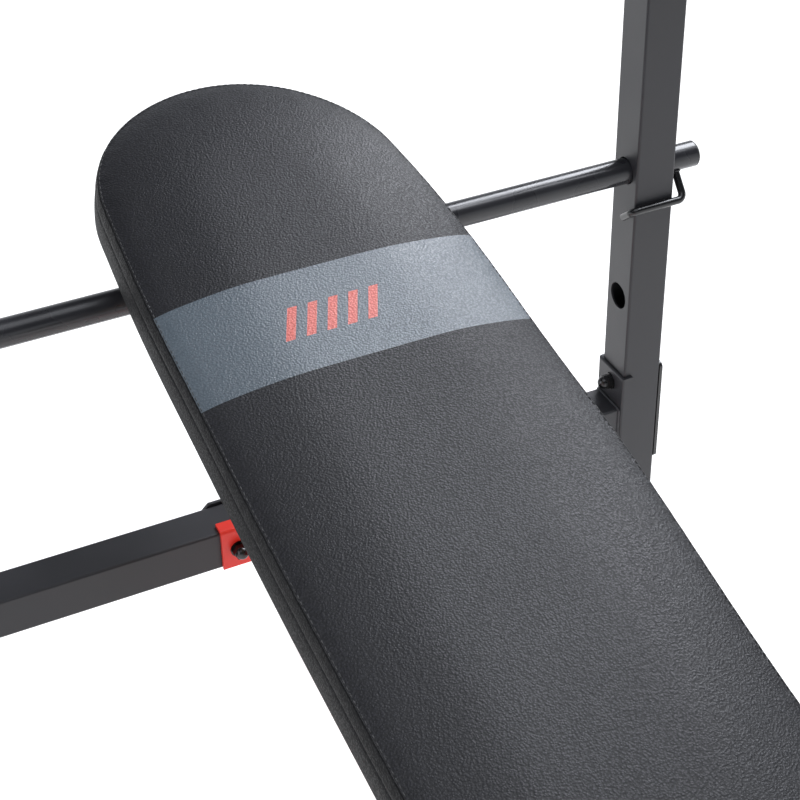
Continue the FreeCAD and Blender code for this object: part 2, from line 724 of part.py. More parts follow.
def board_outline(sketch, inset):
    """The board's plan: square front corners, sides that curve in to a round head."""
    half = f"pad_half_width - ({inset})"
    head = f"pad_head_radius - ({inset})"
    w = value(half)
    r_head = value(head)
    r_corner = value(f"pad_corner - ({inset})")
    y_front = -value(f"pad_front - ({inset})")
    y_bend = -value("pad_straight")
    y_head = value("pad_head - pad_head_radius")
    rise = y_head - y_bend
    # A long arc leaves the straight side and meets the head's arc, tangent to both.
    r_side = (w * w + rise * rise - r_head * r_head) / (2 * (w - r_head))
    sweep = math.atan2(rise, r_side - w)
    up = Vector(0, 0, 1)
    meet = Vector(r_head * math.cos(sweep), y_head + r_head * math.sin(sweep), 0)

    def arc(centre, radius, first, last):
        shape = Part.ArcOfCircle(Part.Circle(centre, up, radius), first, last)
        return sketch.addGeometry(shape)

    def line(start, end):
        return sketch.addGeometry(Part.LineSegment(start, end))

    corner_x = w - r_corner
    corner_y = y_front + r_corner
    pieces = [
        line(Vector(-corner_x, y_front, 0), Vector(corner_x, y_front, 0)),
        arc(Vector(corner_x, corner_y, 0), r_corner, -math.pi / 2, 0),
        line(Vector(w, corner_y, 0), Vector(w, y_bend, 0)),
        arc(Vector(w - r_side, y_bend, 0), r_side, 0, sweep),
        arc(Vector(0, y_head, 0), r_head, math.atan2(meet.y - y_head, meet.x),
            math.pi - math.atan2(meet.y - y_head, meet.x)),
        arc(Vector(r_side - w, y_bend, 0), r_side, math.pi - sweep, math.pi),
        line(Vector(-w, y_bend, 0), Vector(-w, corner_y, 0)),
        arc(Vector(-corner_x, corner_y, 0), r_corner, math.pi, 1.5 * math.pi),
    ]
    for i, piece in enumerate(pieces):
        following = pieces[(i + 1) % len(pieces)]
        sketch.addConstraint(Sketcher.Constraint("Tangent", piece, 2, following, 1))
    front, corner, side, flank, cap, far_flank, far_side, far_corner = pieces
    sketch.addConstraint(Sketcher.Constraint("Horizontal", front))
    sketch.addConstraint(Sketcher.Constraint("Vertical", side))
    sketch.addConstraint(Sketcher.Constraint("Vertical", far_side))
    sketch.addConstraint(Sketcher.Constraint("Equal", corner, far_corner))
    sketch.addConstraint(Sketcher.Constraint("Symmetric", side, 2, far_side, 1, -2))
    sketch.addConstraint(Sketcher.Constraint("PointOnObject", cap, 3, -2))
    dimension(sketch, "DistanceY", -1, 1, cap, 3, "pad_head - pad_head_radius")
    dimension(sketch, "Radius", cap, head)
    dimension(sketch, "Radius", corner, f"pad_corner - ({inset})")
    dimension(sketch, "DistanceX", -1, 1, side, 2, half)
    dimension(sketch, "DistanceY", -1, 1, side, 2, "-pad_straight")
    dimension(sketch, "DistanceY", -1, 1, front, 1, f"-(pad_front - ({inset}))")


def pad_cushion():
    """Foam and vinyl cover as one solid, hollowed underneath for the plywood."""
    body = new_body("pad_cushion")
    plan = new_sketch(body, "XY_Plane", "pad_under")
    board_outline(plan, "0")
    pad(body, plan, "pad_thickness")
    top = value("pad_under + pad_thickness")
    under = value("pad_under")
    fillet(body, "pad_crown", lambda edge: all(abs(v.Z - top) < 0.1 for v in edge.Vertexes))
    fillet(body, "pad_lower_edge",
           lambda edge: all(abs(v.Z - under) < 0.1 for v in edge.Vertexes))
    nest = new_sketch(body, "XY_Plane", "pad_under")
    board_outline(nest, "board_inset + pad_lower_edge")
    pocket(body, nest, "board_thickness")
    place_on_board(body, "0", "0", "0")
    return keep(body, "pad_cushion")


# Where bolts pass up through the rails into the board, counted along.
BOLT_STATIONS = ("55", "-240", "-520", "-780")
board_bolts = [(f"{sign} * rail_x", along) for side, sign in SIDES for along in BOLT_STATIONS]


def pad_board():
    """The plywood board, drilled and counterbored for its tee nuts."""
    body = new_body("pad_board")
    plan = new_sketch(body, "XY_Plane", "pad_under")
    board_outline(plan, "board_inset + pad_lower_edge")
    pad(body, plan, "board_thickness")
    drill(body, "XY_Plane", board_bolts, "tee_barrel")
    drill(body, "XY_Plane", board_bolts, "tee_flange", "tee_plate", "pad_under + board_thickness")
    place_on_board(body, "0", "0", "0")
    return keep(body, "pad_board")


def tee_nut(name):
    """A flanged threaded barrel, flange upwards, its foot on its own XY plane."""
    flange_z = "board_thickness - tee_plate"
    return turned(name, [("pad_bolt_radius", "1"), ("tee_barrel", "1"), ("tee_barrel", flange_z),
                         ("tee_flange", flange_z), ("tee_flange", "board_thickness"),
                         ("pad_bolt_radius", "board_thickness")])


def rail(side, sign):
    """One of two tubes under the board, from the hinge to past the support bar."""
    body = tube(f"{side}_rail", "rail_front + rail_head", side="rail_width",
                height="rail_height", wall="rail_wall", corner="2")
    drill(body, "YZ_Plane", [("0", "rail_front - hinge_along")], "hinge_bolt_radius")
    drill(body, "XZ_Plane", [("0", f"rail_front + {along}") for along in BOLT_STATIONS],
          "pad_bolt_radius")
    place_on_board(body, f"{sign} * rail_x", "-rail_front", "pad_under - rail_height / 2", -90)
    return keep(body, f"{side}_rail")


def rail_plug(name, x, along, turn):
    """A plastic plug: a thin head outside the rail and a stub inside it."""
    body = new_body(name)
    head = new_sketch(body, "XY_Plane")
    rounded_rectangle(head, "rail_width", "rail_height", "2")
    pad(body, head, "rail_plug_head")
    stub = new_sketch(body, "XY_Plane")
    rounded_rectangle(stub, "rail_width - 2 * rail_wall", "rail_height - 2 * rail_wall", "0.5")
    inner = pad(body, stub, "rail_plug_depth")
    inner.Reversed = True
    doc.recompute()
    return place_on_board(body, x, along, "pad_under - rail_height / 2", turn)


def rail_brace(name, along):
    """A square tube welded across between the rails."""
    body = tube(name, f"2 * ({rail_inner})", side="rail_width", wall="rail_wall", corner="2")
    # The tube is laid along X and then tilted with the slope.
    tilt = Rotation(Vector(1, 0, 0), value("incline"))
    y = f"upright_y + ({along}) * cos(incline) - (pad_under - rail_height / 2) * sin(incline)"
    z = f"bar_z + ({along}) * sin(incline) + (pad_under - rail_height / 2) * cos(incline)"
    place(body, f"-({rail_inner})", y, z, tilt.multiply(ALONG_X))
    return keep(body, name)


pad_cushion()
pad_board()
for side, sign in SIDES:
    rail(side, sign)
rail_brace("head_brace", "brace_at_head")
rail_brace("middle_brace", "-brace_at_middle")
group("rail_plugs", [rail_plug(f"rail_plug_{side}_{end}", f"{sign} * rail_x", along, turn)
                     for side, sign in SIDES
                     for end, along, turn in (("head", "rail_head", -90),
                                              ("front", "-rail_front", 90))])
rail_under = "pad_under - rail_height"
group("pad_bolts", [place_on_board(hex_bolt(f"pad_bolt_{i}", "rail_height + pad_bolt_engaged",
                                            "pad_bolt_radius", "pad_hex_radius",
                                            "pad_bolt_head"),
                                   x, along, rail_under)
                    for i, (x, along) in enumerate(board_bolts, start=1)])
group("tee_nuts", [place_on_board(tee_nut(f"tee_nut_{i}"), x, along, "pad_under")
                   for i, (x, along) in enumerate(board_bolts, start=1)])


# ---- Support bar and its bail ----------------------------------------------------

bar_end = "bar_length / 2 - bar_plug_head"
support_bar = turned("support_bar", [("bar_radius - bar_wall", f"-({bar_end})"),
                                     ("bar_radius", f"-({bar_end})"),
                                     ("bar_radius", bar_end),
                                     ("bar_radius - bar_wall", bar_end)])
place(support_bar, "0", "upright_y", "bar_z", ALONG_X)
keep(support_bar, "support_bar")

bar_plugs = []
for side, sign in SIDES:
    plug = turned(f"bar_plug_{side}", [("0", "-bar_plug_depth"),
                                       ("bar_radius - bar_wall", "-bar_plug_depth"),
                                       ("bar_radius - bar_wall", "0"),
                                       ("bar_radius", "0"),
                                       ("bar_radius", "bar_plug_head - bar_plug_edge"),
                                       ("bar_radius - bar_plug_edge", "bar_plug_head"),
                                       ("0", "bar_plug_head")])
    bar_plugs.append(place(plug, f"{sign} * ({bar_end})", "upright_y", "bar_z",
                           Rotation(Vector(0, 1, 0), 90 * sign)))
group("bar_end_plugs", bar_plugs)


def bent_wire(corners, bend):
    """A path of straight runs joined by tangent arcs of one radius."""
    edges = []
    start = corners[0]
    for before, corner, after in zip(corners, corners[1:], corners[2:]):
        arriving = (corner - before).normalize()
        leaving = (after - corner).normalize()
        half_turn = arriving.getAngle(leaving) / 2
        setback = bend * math.tan(half_turn)
        first = corner - arriving * setback
        last = corner + leaving * setback
        inward = (leaving - arriving).normalize()
        centre = corner + inward * (bend / math.cos(half_turn))
        middle = centre - inward * bend
        edges.append(Part.LineSegment(start, first).toShape())
        edges.append(Part.Arc(first, middle, last).toShape())
        start = last
    edges.append(Part.LineSegment(start, corners[-1]).toShape())
    return Part.Wire(edges)


def bail_wire():
    """The latch: a leg down the bar's outer side, a cross wire and a hooked tip."""
    leg_x = value("bail_leg_x")
    tip_x = value("bail_tip_x")
    y = -value("bail_front")
    z = -value("bail_drop")
    reach = (value("bar_radius") + 0.05) / math.hypot(y, z)
    path = bent_wire([Vector(leg_x, y * reach, z * reach),
                      Vector(leg_x, y, z),
                      Vector(tip_x, y, z),
                      Vector(tip_x, -value("bail_tip_front"), -value("bail_tip_drop"))],
                     value("bail_bend"))
    ring = Part.Wire(Part.makeCircle(value("bail_radius"), Vector(leg_x, y * reach, z * reach),
                                     Vector(0, y, z)))
    shape = path.makePipeShell([ring], True, False)
    wire = doc.addObject("Part::Feature", "bail_wire")
    wire.Shape = shape
    place(wire, "0", "upright_y", "bar_z")
    return keep(wire, "bail_wire")


bail_wire()


# ---- Catch posts -------------------------------------------------------------------

def catch_post(side, sign):
    """The sliding post, with a row of holes in its rear wall."""
    body = tube(f"{side}_post", "post_length", side="post_side", wall="post_wall", corner="2.5")
    hole = drill(body, "XZ_Plane", [("0", "pin_z - post_bottom")], "pin_radius + 0.2",
                 "post_side / 2 + 1")
    row = body.newObject("PartDesign::LinearPattern", f"{side}_post_holes")
    row.Originals = [hole]
    up = [axis for axis in body.Origin.OriginFeatures if axis.Role == "Z_Axis"][0]
    row.Direction = (up, [""])
    row.Reversed = True
    bind(row, "Length", "pin_pitch * (pin_settings - 1)")
    bind(row, "Occurrences", "pin_settings")
    body.Tip = row
    doc.recompute()
    place(body, f"{sign} * upright_x", "upright_y", "post_bottom")
    return keep(body, f"{side}_post")


def post_plugs(side, sign):
    """The plug that closes a post's top and the shoe that guides its foot."""
    cap = new_body(f"{side}_post_cap")
    head = new_sketch(cap, "XY_Plane")
    rounded_rectangle(head, "post_side", "post_side", "2.5")
    pad(cap, head, "post_cap")
    stub = new_sketch(cap, "XY_Plane")
    inside = "post_side - 2 * post_wall"
    rounded_rectangle(stub, inside, inside, "0.5")
    inner = pad(cap, stub, "post_plug_depth")
    inner.Reversed = True
    doc.recompute()
    cap_top = value("post_cap")
    fillet(cap, "2.5", lambda edge: min(v.Z for v in edge.Vertexes) > cap_top - 0.1)
    place(cap, f"{sign} * upright_x", "upright_y", "post_bottom + post_length")
    shoe = new_body(f"{side}_post_shoe")
    base = new_sketch(shoe, "XY_Plane")
    slide = "tube_side - 2 * tube_wall - 2 * collar_gap"
    rounded_rectangle(base, slide, slide, "1.5")
    sole = pad(shoe, base, "shoe")
    sole.Reversed = True
    doc.recompute()
    stub = new_sketch(shoe, "XY_Plane")
    rounded_rectangle(stub, inside, inside, "0.5")
    pad(shoe, stub, "post_plug_depth")
    place(shoe, f"{sign} * upright_x", "upright_y", "post_bottom")
    return group(f"{side}_post_plugs", [cap, shoe])


def hook(name, outer_offset, inner_offset, width, back_top, lip_top):
    """A strip bent to a J that opens upwards, drawn as an outer and an inner outline.

    Offsets are counted inwards from the outer faces of the catch's plate.
    """
    body = new_body(name)
    section = new_sketch(body, "YZ_Plane")
    rear = "-post_side / 2"
    depth = "catch_gap + 2 * catch_plate"
    polygon(section, [(f"{rear} - ({depth}) + {outer_offset}", outer_offset),
                      (f"{rear} - {outer_offset}", outer_offset),
                      (f"{rear} - {outer_offset}", back_top),
                      (f"{rear} - ({inner_offset})", back_top),
                      (f"{rear} - ({inner_offset})", inner_offset),
                      (f"{rear} - ({depth}) + {inner_offset}", inner_offset),
                      (f"{rear} - ({depth}) + {inner_offset}", lip_top),
                      (f"{rear} - ({depth}) + {outer_offset}", lip_top)])
    pad(body, section, width, both_ways=True)
    # The inside of the bend comes first: a thin strip's outside would cut through it.
    for offset in (inner_offset, outer_offset):
        level = value(offset)
        fillet(body, f"catch_bend + catch_plate - ({offset})",
               lambda edge: all(abs(v.Z - level) < 0.1 for v in edge.Vertexes)
               and len(edge.Vertexes) == 2
               and abs(edge.Vertexes[0].X - edge.Vertexes[1].X) > 1)
    return body


for side, sign in SIDES:
    catch_post(side, sign)
    post_plugs(side, sign)
    catch = hook(f"{side}_catch", "0", "catch_plate", "catch_width",
                 "catch_plate + catch_back", "catch_plate + catch_lip")
    liner = hook(f"{side}_catch_liner", "catch_plate", "catch_plate + liner",
                 "catch_width - 2 * liner_margin",
                 "catch_plate + catch_back - liner_back_drop",
                 "catch_plate + catch_lip - liner_lip_drop")
    for body, label in ((catch, f"{side}_catch"), (liner, f"{side}_catch_liner")):
        place(body, f"{sign} * upright_x", "upright_y", "post_bottom + catch_floor")
        keep(body, label)


# ---- Locking pins --------------------------------------------------------------------

def pin_on_upright(thing, sign):
    """Puts a lathe part behind an upright, its own Z pointing to the rear."""
    return place(thing, f"{sign} * upright_x", f"upright_y + {half_tube}", "pin_z", ALONG_Y)


def coil_spring(name, sign):
    """The coil between the pin's collar and the end of its housing."""
    wire_radius = 0.6
    coil_radius = 6.6
    pitch = 2.25
    turns = 4
    helix = Part.makeHelix(pitch, pitch * turns, coil_radius)
    section = Part.Wire(Part.makeCircle(wire_radius, Vector(coil_radius, 0, 0),
                                        Vector(0, 1, 0)))
    spring = doc.addObject("Part::Feature", name)
    spring.Shape = Part.Wire(helix).makePipeShell([section], True, True)
    return place(spring, f"{sign} * upright_x", f"upright_y + {half_tube} + spring_start",
                 "pin_z", ALONG_Y)


for side, sign in SIDES:
    end_wall = "housing_length - housing_end"
    housing = turned(f"{side}_pin_housing", [("housing_bore", "0"),
                                             ("housing_radius", "0"),
                                             ("housing_radius", "housing_length"),
                                             ("pin_radius + 0.05", "housing_length"),
                                             ("pin_radius + 0.05", end_wall),
                                             ("housing_bore", end_wall)])
    keep(pin_on_upright(housing, sign), f"{side}_pin_housing")
    pin = turned(f"{side}_lock_pin", [("0", "-pin_reach"),
                                      ("pin_radius - 1", "-pin_reach"),
                                      ("pin_radius", "1 - pin_reach"),
                                      ("pin_radius", "pin_collar_start"),
                                      ("pin_collar", "pin_collar_start"),
                                      ("pin_collar", "pin_collar_end"),
                                      ("pin_radius", "pin_collar_end"),
                                      ("pin_radius", "pin_tail"),
                                      ("0", "pin_tail")])
    keep(pin_on_upright(pin, sign), f"{side}_lock_pin")
    knob = turned(f"{side}_pin_knob", [("pin_radius", "knob_start"),
                                       ("knob_neck", "knob_start"),
                                       ("knob_neck", "knob_grip_start - 4"),
                                       ("knob_radius", "knob_grip_start"),
                                       ("knob_radius", "knob_end"),
                                       ("0", "knob_end"),
                                       ("0", "pin_tail"),
                                       ("pin_radius", "pin_tail")])
    grip_width = 2 * value("knob_radius")
    fillet(knob, "3.5", lambda edge: abs(edge.BoundBox.XLength - grip_width) < 0.1
           and edge.BoundBox.ZLength < 0.1)
    keep(pin_on_upright(knob, sign), f"{side}_pin_knob")
    keep(coil_spring(f"{side}_pin_spring", sign), f"{side}_pin_spring")


# ---- Checks and export ------------------------------------------------------------------

doc.recompute()
for thing in doc.Objects:
    if "Invalid" in thing.State or "Error" in thing.State:
        raise ValueError(f"{thing.Label} failed to compute: {thing.State}")
for thing in subparts:
    if thing.Shape.isNull() or not thing.Shape.isValid():
        raise ValueError(f"{thing.Label} has no valid shape")

os.makedirs("parts", exist_ok=True)
for thing in subparts:
    thing.Shape.exportStep(f"parts/{thing.Label}.step")
print(len(subparts), "sub-parts written")
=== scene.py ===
import json
import math

import bmesh
import bpy
import numpy as np
from mathutils import Matrix, Vector
from mathutils.kdtree import KDTree


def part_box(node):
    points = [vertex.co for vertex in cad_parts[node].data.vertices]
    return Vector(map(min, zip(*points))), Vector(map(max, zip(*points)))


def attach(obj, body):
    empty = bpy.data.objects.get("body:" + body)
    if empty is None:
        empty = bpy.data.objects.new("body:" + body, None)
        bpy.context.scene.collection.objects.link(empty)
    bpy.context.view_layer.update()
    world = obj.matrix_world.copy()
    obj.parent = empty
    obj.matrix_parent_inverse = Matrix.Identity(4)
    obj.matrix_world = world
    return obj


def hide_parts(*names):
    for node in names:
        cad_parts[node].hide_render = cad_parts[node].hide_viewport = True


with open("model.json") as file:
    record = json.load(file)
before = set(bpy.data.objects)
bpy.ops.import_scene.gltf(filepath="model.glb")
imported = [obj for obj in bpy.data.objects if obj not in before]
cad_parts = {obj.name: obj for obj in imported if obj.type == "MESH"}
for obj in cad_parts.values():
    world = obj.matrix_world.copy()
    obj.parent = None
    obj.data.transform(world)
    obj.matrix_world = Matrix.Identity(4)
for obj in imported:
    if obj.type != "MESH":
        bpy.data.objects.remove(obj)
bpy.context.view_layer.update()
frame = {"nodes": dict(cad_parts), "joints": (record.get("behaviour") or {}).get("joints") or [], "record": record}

MM = 0.001
INCLINE = math.radians(12)
nodes = frame["nodes"]
joints = {joint["name"]: joint for joint in frame["joints"]}
slot_of = {part["node"]: part["material_slot"] for part in frame["record"]["subparts"]}


# ---- Places and sizes, read from the frame --------------------------------------

def middle(node):
    low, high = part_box(node)
    return (low + high) / 2


bar_centre = middle("support_bar")
bar_radius = (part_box("support_bar")[1].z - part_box("support_bar")[0].z) / 2
hinge = Vector(joints["pad_tilt"]["pos_m"])

# The padded board's own directions: x across, y up the slope, z square to the board.
board_frame = Matrix.Translation(bar_centre) @ Matrix.Rotation(INCLINE, 4, "X")
board_inverse = board_frame.inverted()
cushion_points = np.array([board_inverse @ v.co for v in nodes["pad_cushion"].data.vertices])
HALF_WIDTH = float(cushion_points[:, 0].max())
PAD_FRONT = float(cushion_points[:, 1].min())
PAD_HEAD = float(cushion_points[:, 1].max())
PAD_UNDER = float(cushion_points[:, 2].min())
PAD_TOP = float(cushion_points[:, 2].max())

# The CAD cushion's head and front corners, and where its straight sides end.
HEAD_RADIUS = 160 * MM
FRONT_CORNER = 40 * MM
STRAIGHT_END = -220 * MM

# The sewn edge: how far it lies below the crown, and in from the cushion's widest line.
CROWN = 14 * MM
SEAM_Z = PAD_TOP - CROWN
SEAM_HALF_WIDTH = HALF_WIDTH - 2 * MM
SECOND_SEAM_DROP = 17 * MM

# The printed band and its ornament of slanted strokes: y is along the board, x across.
BAND_START = -259 * MM
BAND_END = -132 * MM
STROKE_COUNT = 5
STROKE_PITCH = 21 * MM
STROKE_SHARE = 0.46
STROKE_LEAN = 0.45
STROKE_HALF_HEIGHT = 20 * MM
STROKES_START = 26 * MM
STROKES_MIDDLE = -197 * MM


# ---- Node materials ----------------------------------------------------------------

class Shader:
    """A material being built: makes nodes and links them in one call."""

    def __init__(self, name):
        self.material = bpy.data.materials.new(name)
        self.material.use_nodes = True
        self.tree = self.material.node_tree
        self.surface = self.tree.nodes["Principled BSDF"]
        self.place = self.node("ShaderNodeTexCoord").outputs["Object"]

    def node(self, kind, inputs=None, **settings):
        made = self.tree.nodes.new(kind)
        for key, setting in settings.items():
            setattr(made, key, setting)
        for key, source in (inputs or {}).items():
            self.feed(made.inputs[key], source)
        return made

    def feed(self, socket, source):
        if isinstance(source, bpy.types.NodeSocket):
            self.tree.links.new(source, socket)
        else:
            socket.default_value = source

    def noise(self, scale, detail=3.0, roughness=0.5, place=None):
        made = self.node("ShaderNodeTexNoise", {"Vector": place or self.place, "Scale": scale,
                                                "Detail": detail, "Roughness": roughness})
        return made.outputs["Fac"]

    def cells(self, scale, place):
        made = self.node("ShaderNodeTexVoronoi", {"Vector": place, "Scale": scale},
                         feature="SMOOTH_F1")
        return made.outputs["Distance"]

    def math(self, operation, a, b=0.0, c=0.0):
        made = self.node("ShaderNodeMath", operation=operation)
        for socket, source in zip(made.inputs, (a, b, c)):
            self.feed(socket, source)
        return made.outputs[0]

    def ramp(self, source, low, high, start=0.0, end=1.0):
        """Maps start..end of the source to low..high."""
        made = self.node("ShaderNodeMapRange", {"Value": source, "From Min": start,
                                                "From Max": end, "To Min": low, "To Max": high})
        return made.outputs["Result"]

    def spread(self, source, low=0.0, high=1.0):
        """Maps the middle of a noise, which hardly leaves 0.3..0.7, to low..high."""
        return self.ramp(source, low, high, 0.3, 0.7)

    def mix(self, share, first, second):
        """A blend of two colours (sockets 6 and 7 are the colour pair of the Mix node)."""
        made = self.node("ShaderNodeMix", {"Factor": share, 6: first, 7: second},
                         data_type="RGBA")
        return made.outputs[2]

    def stretch(self, x, y, z):
        made = self.node("ShaderNodeMapping", {"Vector": self.place, "Scale": (x, y, z)})
        return made.outputs["Vector"]

    def bump(self, height, distance):
        made = self.node("ShaderNodeBump", {"Height": height, "Distance": distance,
                                            "Strength": 1.0})
        return made.outputs["Normal"]

    def set(self, **inputs):
        names = {"color": "Base Color", "metal": "Metallic", "rough": "Roughness",
                 "normal": "Normal", "coat": "Coat Weight", "coat_rough": "Coat Roughness",
                 "specular": "Specular IOR Level", "glow": "Emission Color",
                 "glow_strength": "Emission Strength"}
        for key, source in inputs.items():
            self.feed(self.surface.inputs[names[key]], source)
        return self.material


def grey(level, blue=1.0):
    return (level, level, level * blue, 1.0)


def powder_coat(name, low, high, rough, bump=0.00007):
    """Satin powder coat: a fine orange-peel skin with faint dust-like tone changes."""
    s = Shader(name)
    drift = s.noise(9.0, 4.0)
    speck = s.noise(1700.0, 2.0)
    tone = s.math("MULTIPLY_ADD", speck, 0.35, s.math("MULTIPLY", drift, 0.65))
    peel = s.noise(900.0, 2.0)
    return s.set(color=s.mix(s.ramp(tone, 0.0, 1.0, 0.32, 0.68), low, high),
                 rough=s.spread(drift, rough - 0.05, rough + 0.06),
                 normal=s.bump(peel, bump), specular=0.5)


def gloss_paint(name, low, high, rough):
    """Smooth enamel with a long soft ripple."""
    s = Shader(name)
    drift = s.noise(14.0, 3.0)
    ripple = s.noise(120.0, 2.0)
    return s.set(color=s.mix(s.spread(drift), low, high),
                 rough=s.spread(drift, rough - 0.03, rough + 0.05),
                 normal=s.bump(ripple, 0.00008), coat=0.25, coat_rough=0.12)


def moulded_plastic(name, low, high, rough):
    """Spark-eroded mould texture on plain plastic."""
    s = Shader(name)
    drift = s.noise(20.0, 3.0)
    grain = s.noise(1400.0, 3.0, 0.6)
    return s.set(color=s.mix(s.spread(drift), low, high),
                 rough=s.spread(grain, rough - 0.06, rough + 0.08),
                 normal=s.bump(grain, 0.00012))


def plated_steel(name, low, high, rough):
    """Zinc plate: a cloudy tone over a very fine grain."""
    s = Shader(name)
    cloud = s.noise(60.0, 4.0)
    grain = s.noise(2200.0, 2.0)
    return s.set(color=s.mix(s.spread(cloud), low, high), metal=0.95,
                 rough=s.spread(cloud, rough - 0.06, rough + 0.10),
                 normal=s.bump(grain, 0.00003))


def plywood():
    """Long-grained veneer with darker bands and open pores."""
    s = Shader("plywood")
    bands = s.noise(22.0, 5.0, 0.6, s.stretch(1.0, 0.06, 1.0))
    pores = s.noise(500.0, 2.0, 0.5, s.stretch(1.0, 0.04, 1.0))
    wood = s.mix(s.spread(bands), (0.42, 0.29, 0.17, 1), (0.62, 0.47, 0.30, 1))
    shade = s.ramp(pores, 0.0, 0.35, 0.62, 0.78)
    return s.set(color=s.mix(shade, wood, (0.18, 0.11, 0.06, 1)), rough=0.68,
                 normal=s.bump(pores, 0.0002))


def leather_grain(s):
    """The height of pressed vinyl grain, from about -0.5 in the creases to 0 on the pebbles."""
    warp = s.node("ShaderNodeTexNoise", {"Vector": s.place, "Scale": 420.0, "Detail": 2.0})
    shift = s.node("ShaderNodeVectorMath", {0: warp.outputs["Color"], 1: (0.8 * MM,) * 3},
                   operation="MULTIPLY")
    place = s.node("ShaderNodeVectorMath", {0: s.place, 1: shift.outputs[0]},
                   operation="ADD").outputs[0]
    pebbles = s.cells(520.0, place)
    fine = s.cells(1300.0, place)
    return s.math("MULTIPLY_ADD", pebbles, -0.8, s.math("MULTIPLY", fine, -0.2))


def slanted_strokes(s, across, along):
    """A mask of parallel slanted strokes, a plain printed ornament on the band."""
    upright = s.math("MULTIPLY_ADD", along, -STROKE_LEAN, across)
    place = s.math("DIVIDE", s.math("SUBTRACT", upright, STROKES_START), STROKE_PITCH)
    inside_stroke = s.math("LESS_THAN", s.math("FRACT", place), STROKE_SHARE)
    after_first = s.math("GREATER_THAN", place, 0.0)
    before_last = s.math("LESS_THAN", place, float(STROKE_COUNT))
    height = s.math("ABSOLUTE", s.math("SUBTRACT", along, STROKES_MIDDLE))
    within = s.math("LESS_THAN", height, STROKE_HALF_HEIGHT)
    sides = s.math("MULTIPLY", after_first, before_last)
    return s.math("MULTIPLY", s.math("MULTIPLY", inside_stroke, within), sides)


def vinyl(name, low, high, rough, specular, printed=False):
    """Matt upholstery vinyl, glossier on its pebbles and with painted shade in the creases of its grain; the
    printed kind carries the strokes.
    """
    s = Shader(name)
    height = leather_grain(s)
    drift = s.noise(5.0, 4.0)
    # The colour is darker in the grain's creases, which is painted shade, mixed with a random drift of tone; the
    # printed strokes take the same painted shade.
    crease = s.ramp(height, 0.0, 1.0, -0.52, -0.12)
    tone = s.math("MULTIPLY_ADD", crease, 0.7, s.math("MULTIPLY", drift, 0.3))
    share = s.ramp(tone, 0.0, 1.0, 0.2, 0.8)
    color = s.mix(share, low, high)
    if printed:
        split = s.node("ShaderNodeSeparateXYZ", {"Vector": s.place}).outputs
        strokes = slanted_strokes(s, split["X"], split["Y"])
        coral = s.mix(share, (0.50, 0.060, 0.035, 1), (0.66, 0.095, 0.055, 1))
        color = s.mix(strokes, color, coral)
    wear = s.spread(s.noise(2.2, 3.0), -0.04, 0.04)
    matt = s.ramp(height, rough + 0.13, rough - 0.05, -0.50, -0.22)
    return s.set(color=color, rough=s.math("ADD", matt, wear),
                 normal=s.bump(height, 0.00054), specular=specular)


def thread(name, low, high):
    """Twisted bonded thread."""
    s = Shader(name)
    twist = s.noise(2600.0, 2.0)
    return s.set(color=s.mix(twist, low, high), rough=0.5, normal=s.bump(twist, 0.0001))


BLACK_COAT = powder_coat("powder_black", grey(0.018, 1.16), grey(0.028, 1.18), 0.43)
BLACK_PAINT = gloss_paint("paint_black", grey(0.006, 1.05), grey(0.012, 1.05), 0.22)
BAR_PAINT = gloss_paint("paint_bar", grey(0.020, 1.15), grey(0.028, 1.15), 0.27)
RED_COAT = powder_coat("powder_red", (0.78, 0.030, 0.018, 1), (0.92, 0.046, 0.028, 1), 0.32,
                       0.00004)
VINYL_TOP = vinyl("vinyl_top", grey(0.006, 1.25), grey(0.018, 1.25), 0.40, 0.36)
VINYL_BAND = vinyl("vinyl_band", (0.046, 0.066, 0.083, 1), (0.078, 0.104, 0.126, 1), 0.38,
                   1.0, printed=True)
VINYL_SIDE = vinyl("vinyl_side", grey(0.005, 1.12), grey(0.011, 1.15), 0.50, 0.12)
THREAD_LIGHT = thread("thread_light", grey(0.012), grey(0.035))
THREAD_DARK = thread("thread_dark", grey(0.004), grey(0.012))
BLACK_PLASTIC = moulded_plastic("plastic_black", grey(0.012), grey(0.022), 0.48)
LINER_PLASTIC = moulded_plastic("plastic_liner", grey(0.03), grey(0.05), 0.42)
NYLON = moulded_plastic("nylon", (0.60, 0.58, 0.52, 1), (0.70, 0.68, 0.62, 1), 0.42)
RED_PLASTIC = moulded_plastic("plastic_red", (0.52, 0.018, 0.014, 1),
                              (0.64, 0.028, 0.020, 1), 0.40)
BLACK_STEEL = plated_steel("zinc_black", grey(0.035, 1.02), grey(0.075, 1.02), 0.24)
BRIGHT_STEEL = plated_steel("zinc_bright", grey(0.50, 1.02), grey(0.64, 1.02), 0.28)
PLYWOOD = plywood()

FINISH = {
    "black_powder_coat": BLACK_COAT,
    "black_gloss_paint": BLACK_PAINT,
    "red_powder_coat": RED_COAT,
    "vinyl": VINYL_SIDE,
    "plywood": PLYWOOD,
    "black_plastic": BLACK_PLASTIC,
    "liner_plastic": LINER_PLASTIC,
    "black_steel": BLACK_STEEL,
    "zinc_steel": BRIGHT_STEEL,
    "nylon": NYLON,
    "red_plastic": RED_PLASTIC,
}
# Two pieces look unlike the rest of their slot.
OWN_FINISH = {"support_bar": BAR_PAINT, "beam_rear_plate": BLACK_COAT}
NODE_SHARP_ANGLE = math.radians(35)
BEAD_SHARP_ANGLE = math.radians(60)

for name, node in nodes.items():
    node.data.materials.clear()
    node.data.materials.append(OWN_FINISH.get(name, FINISH[slot_of[name]]))
    node.data.shade_smooth()
    node.data.set_sharp_from_angle(angle=NODE_SHARP_ANGLE)


# ---- Mesh helpers --------------------------------------------------------------------

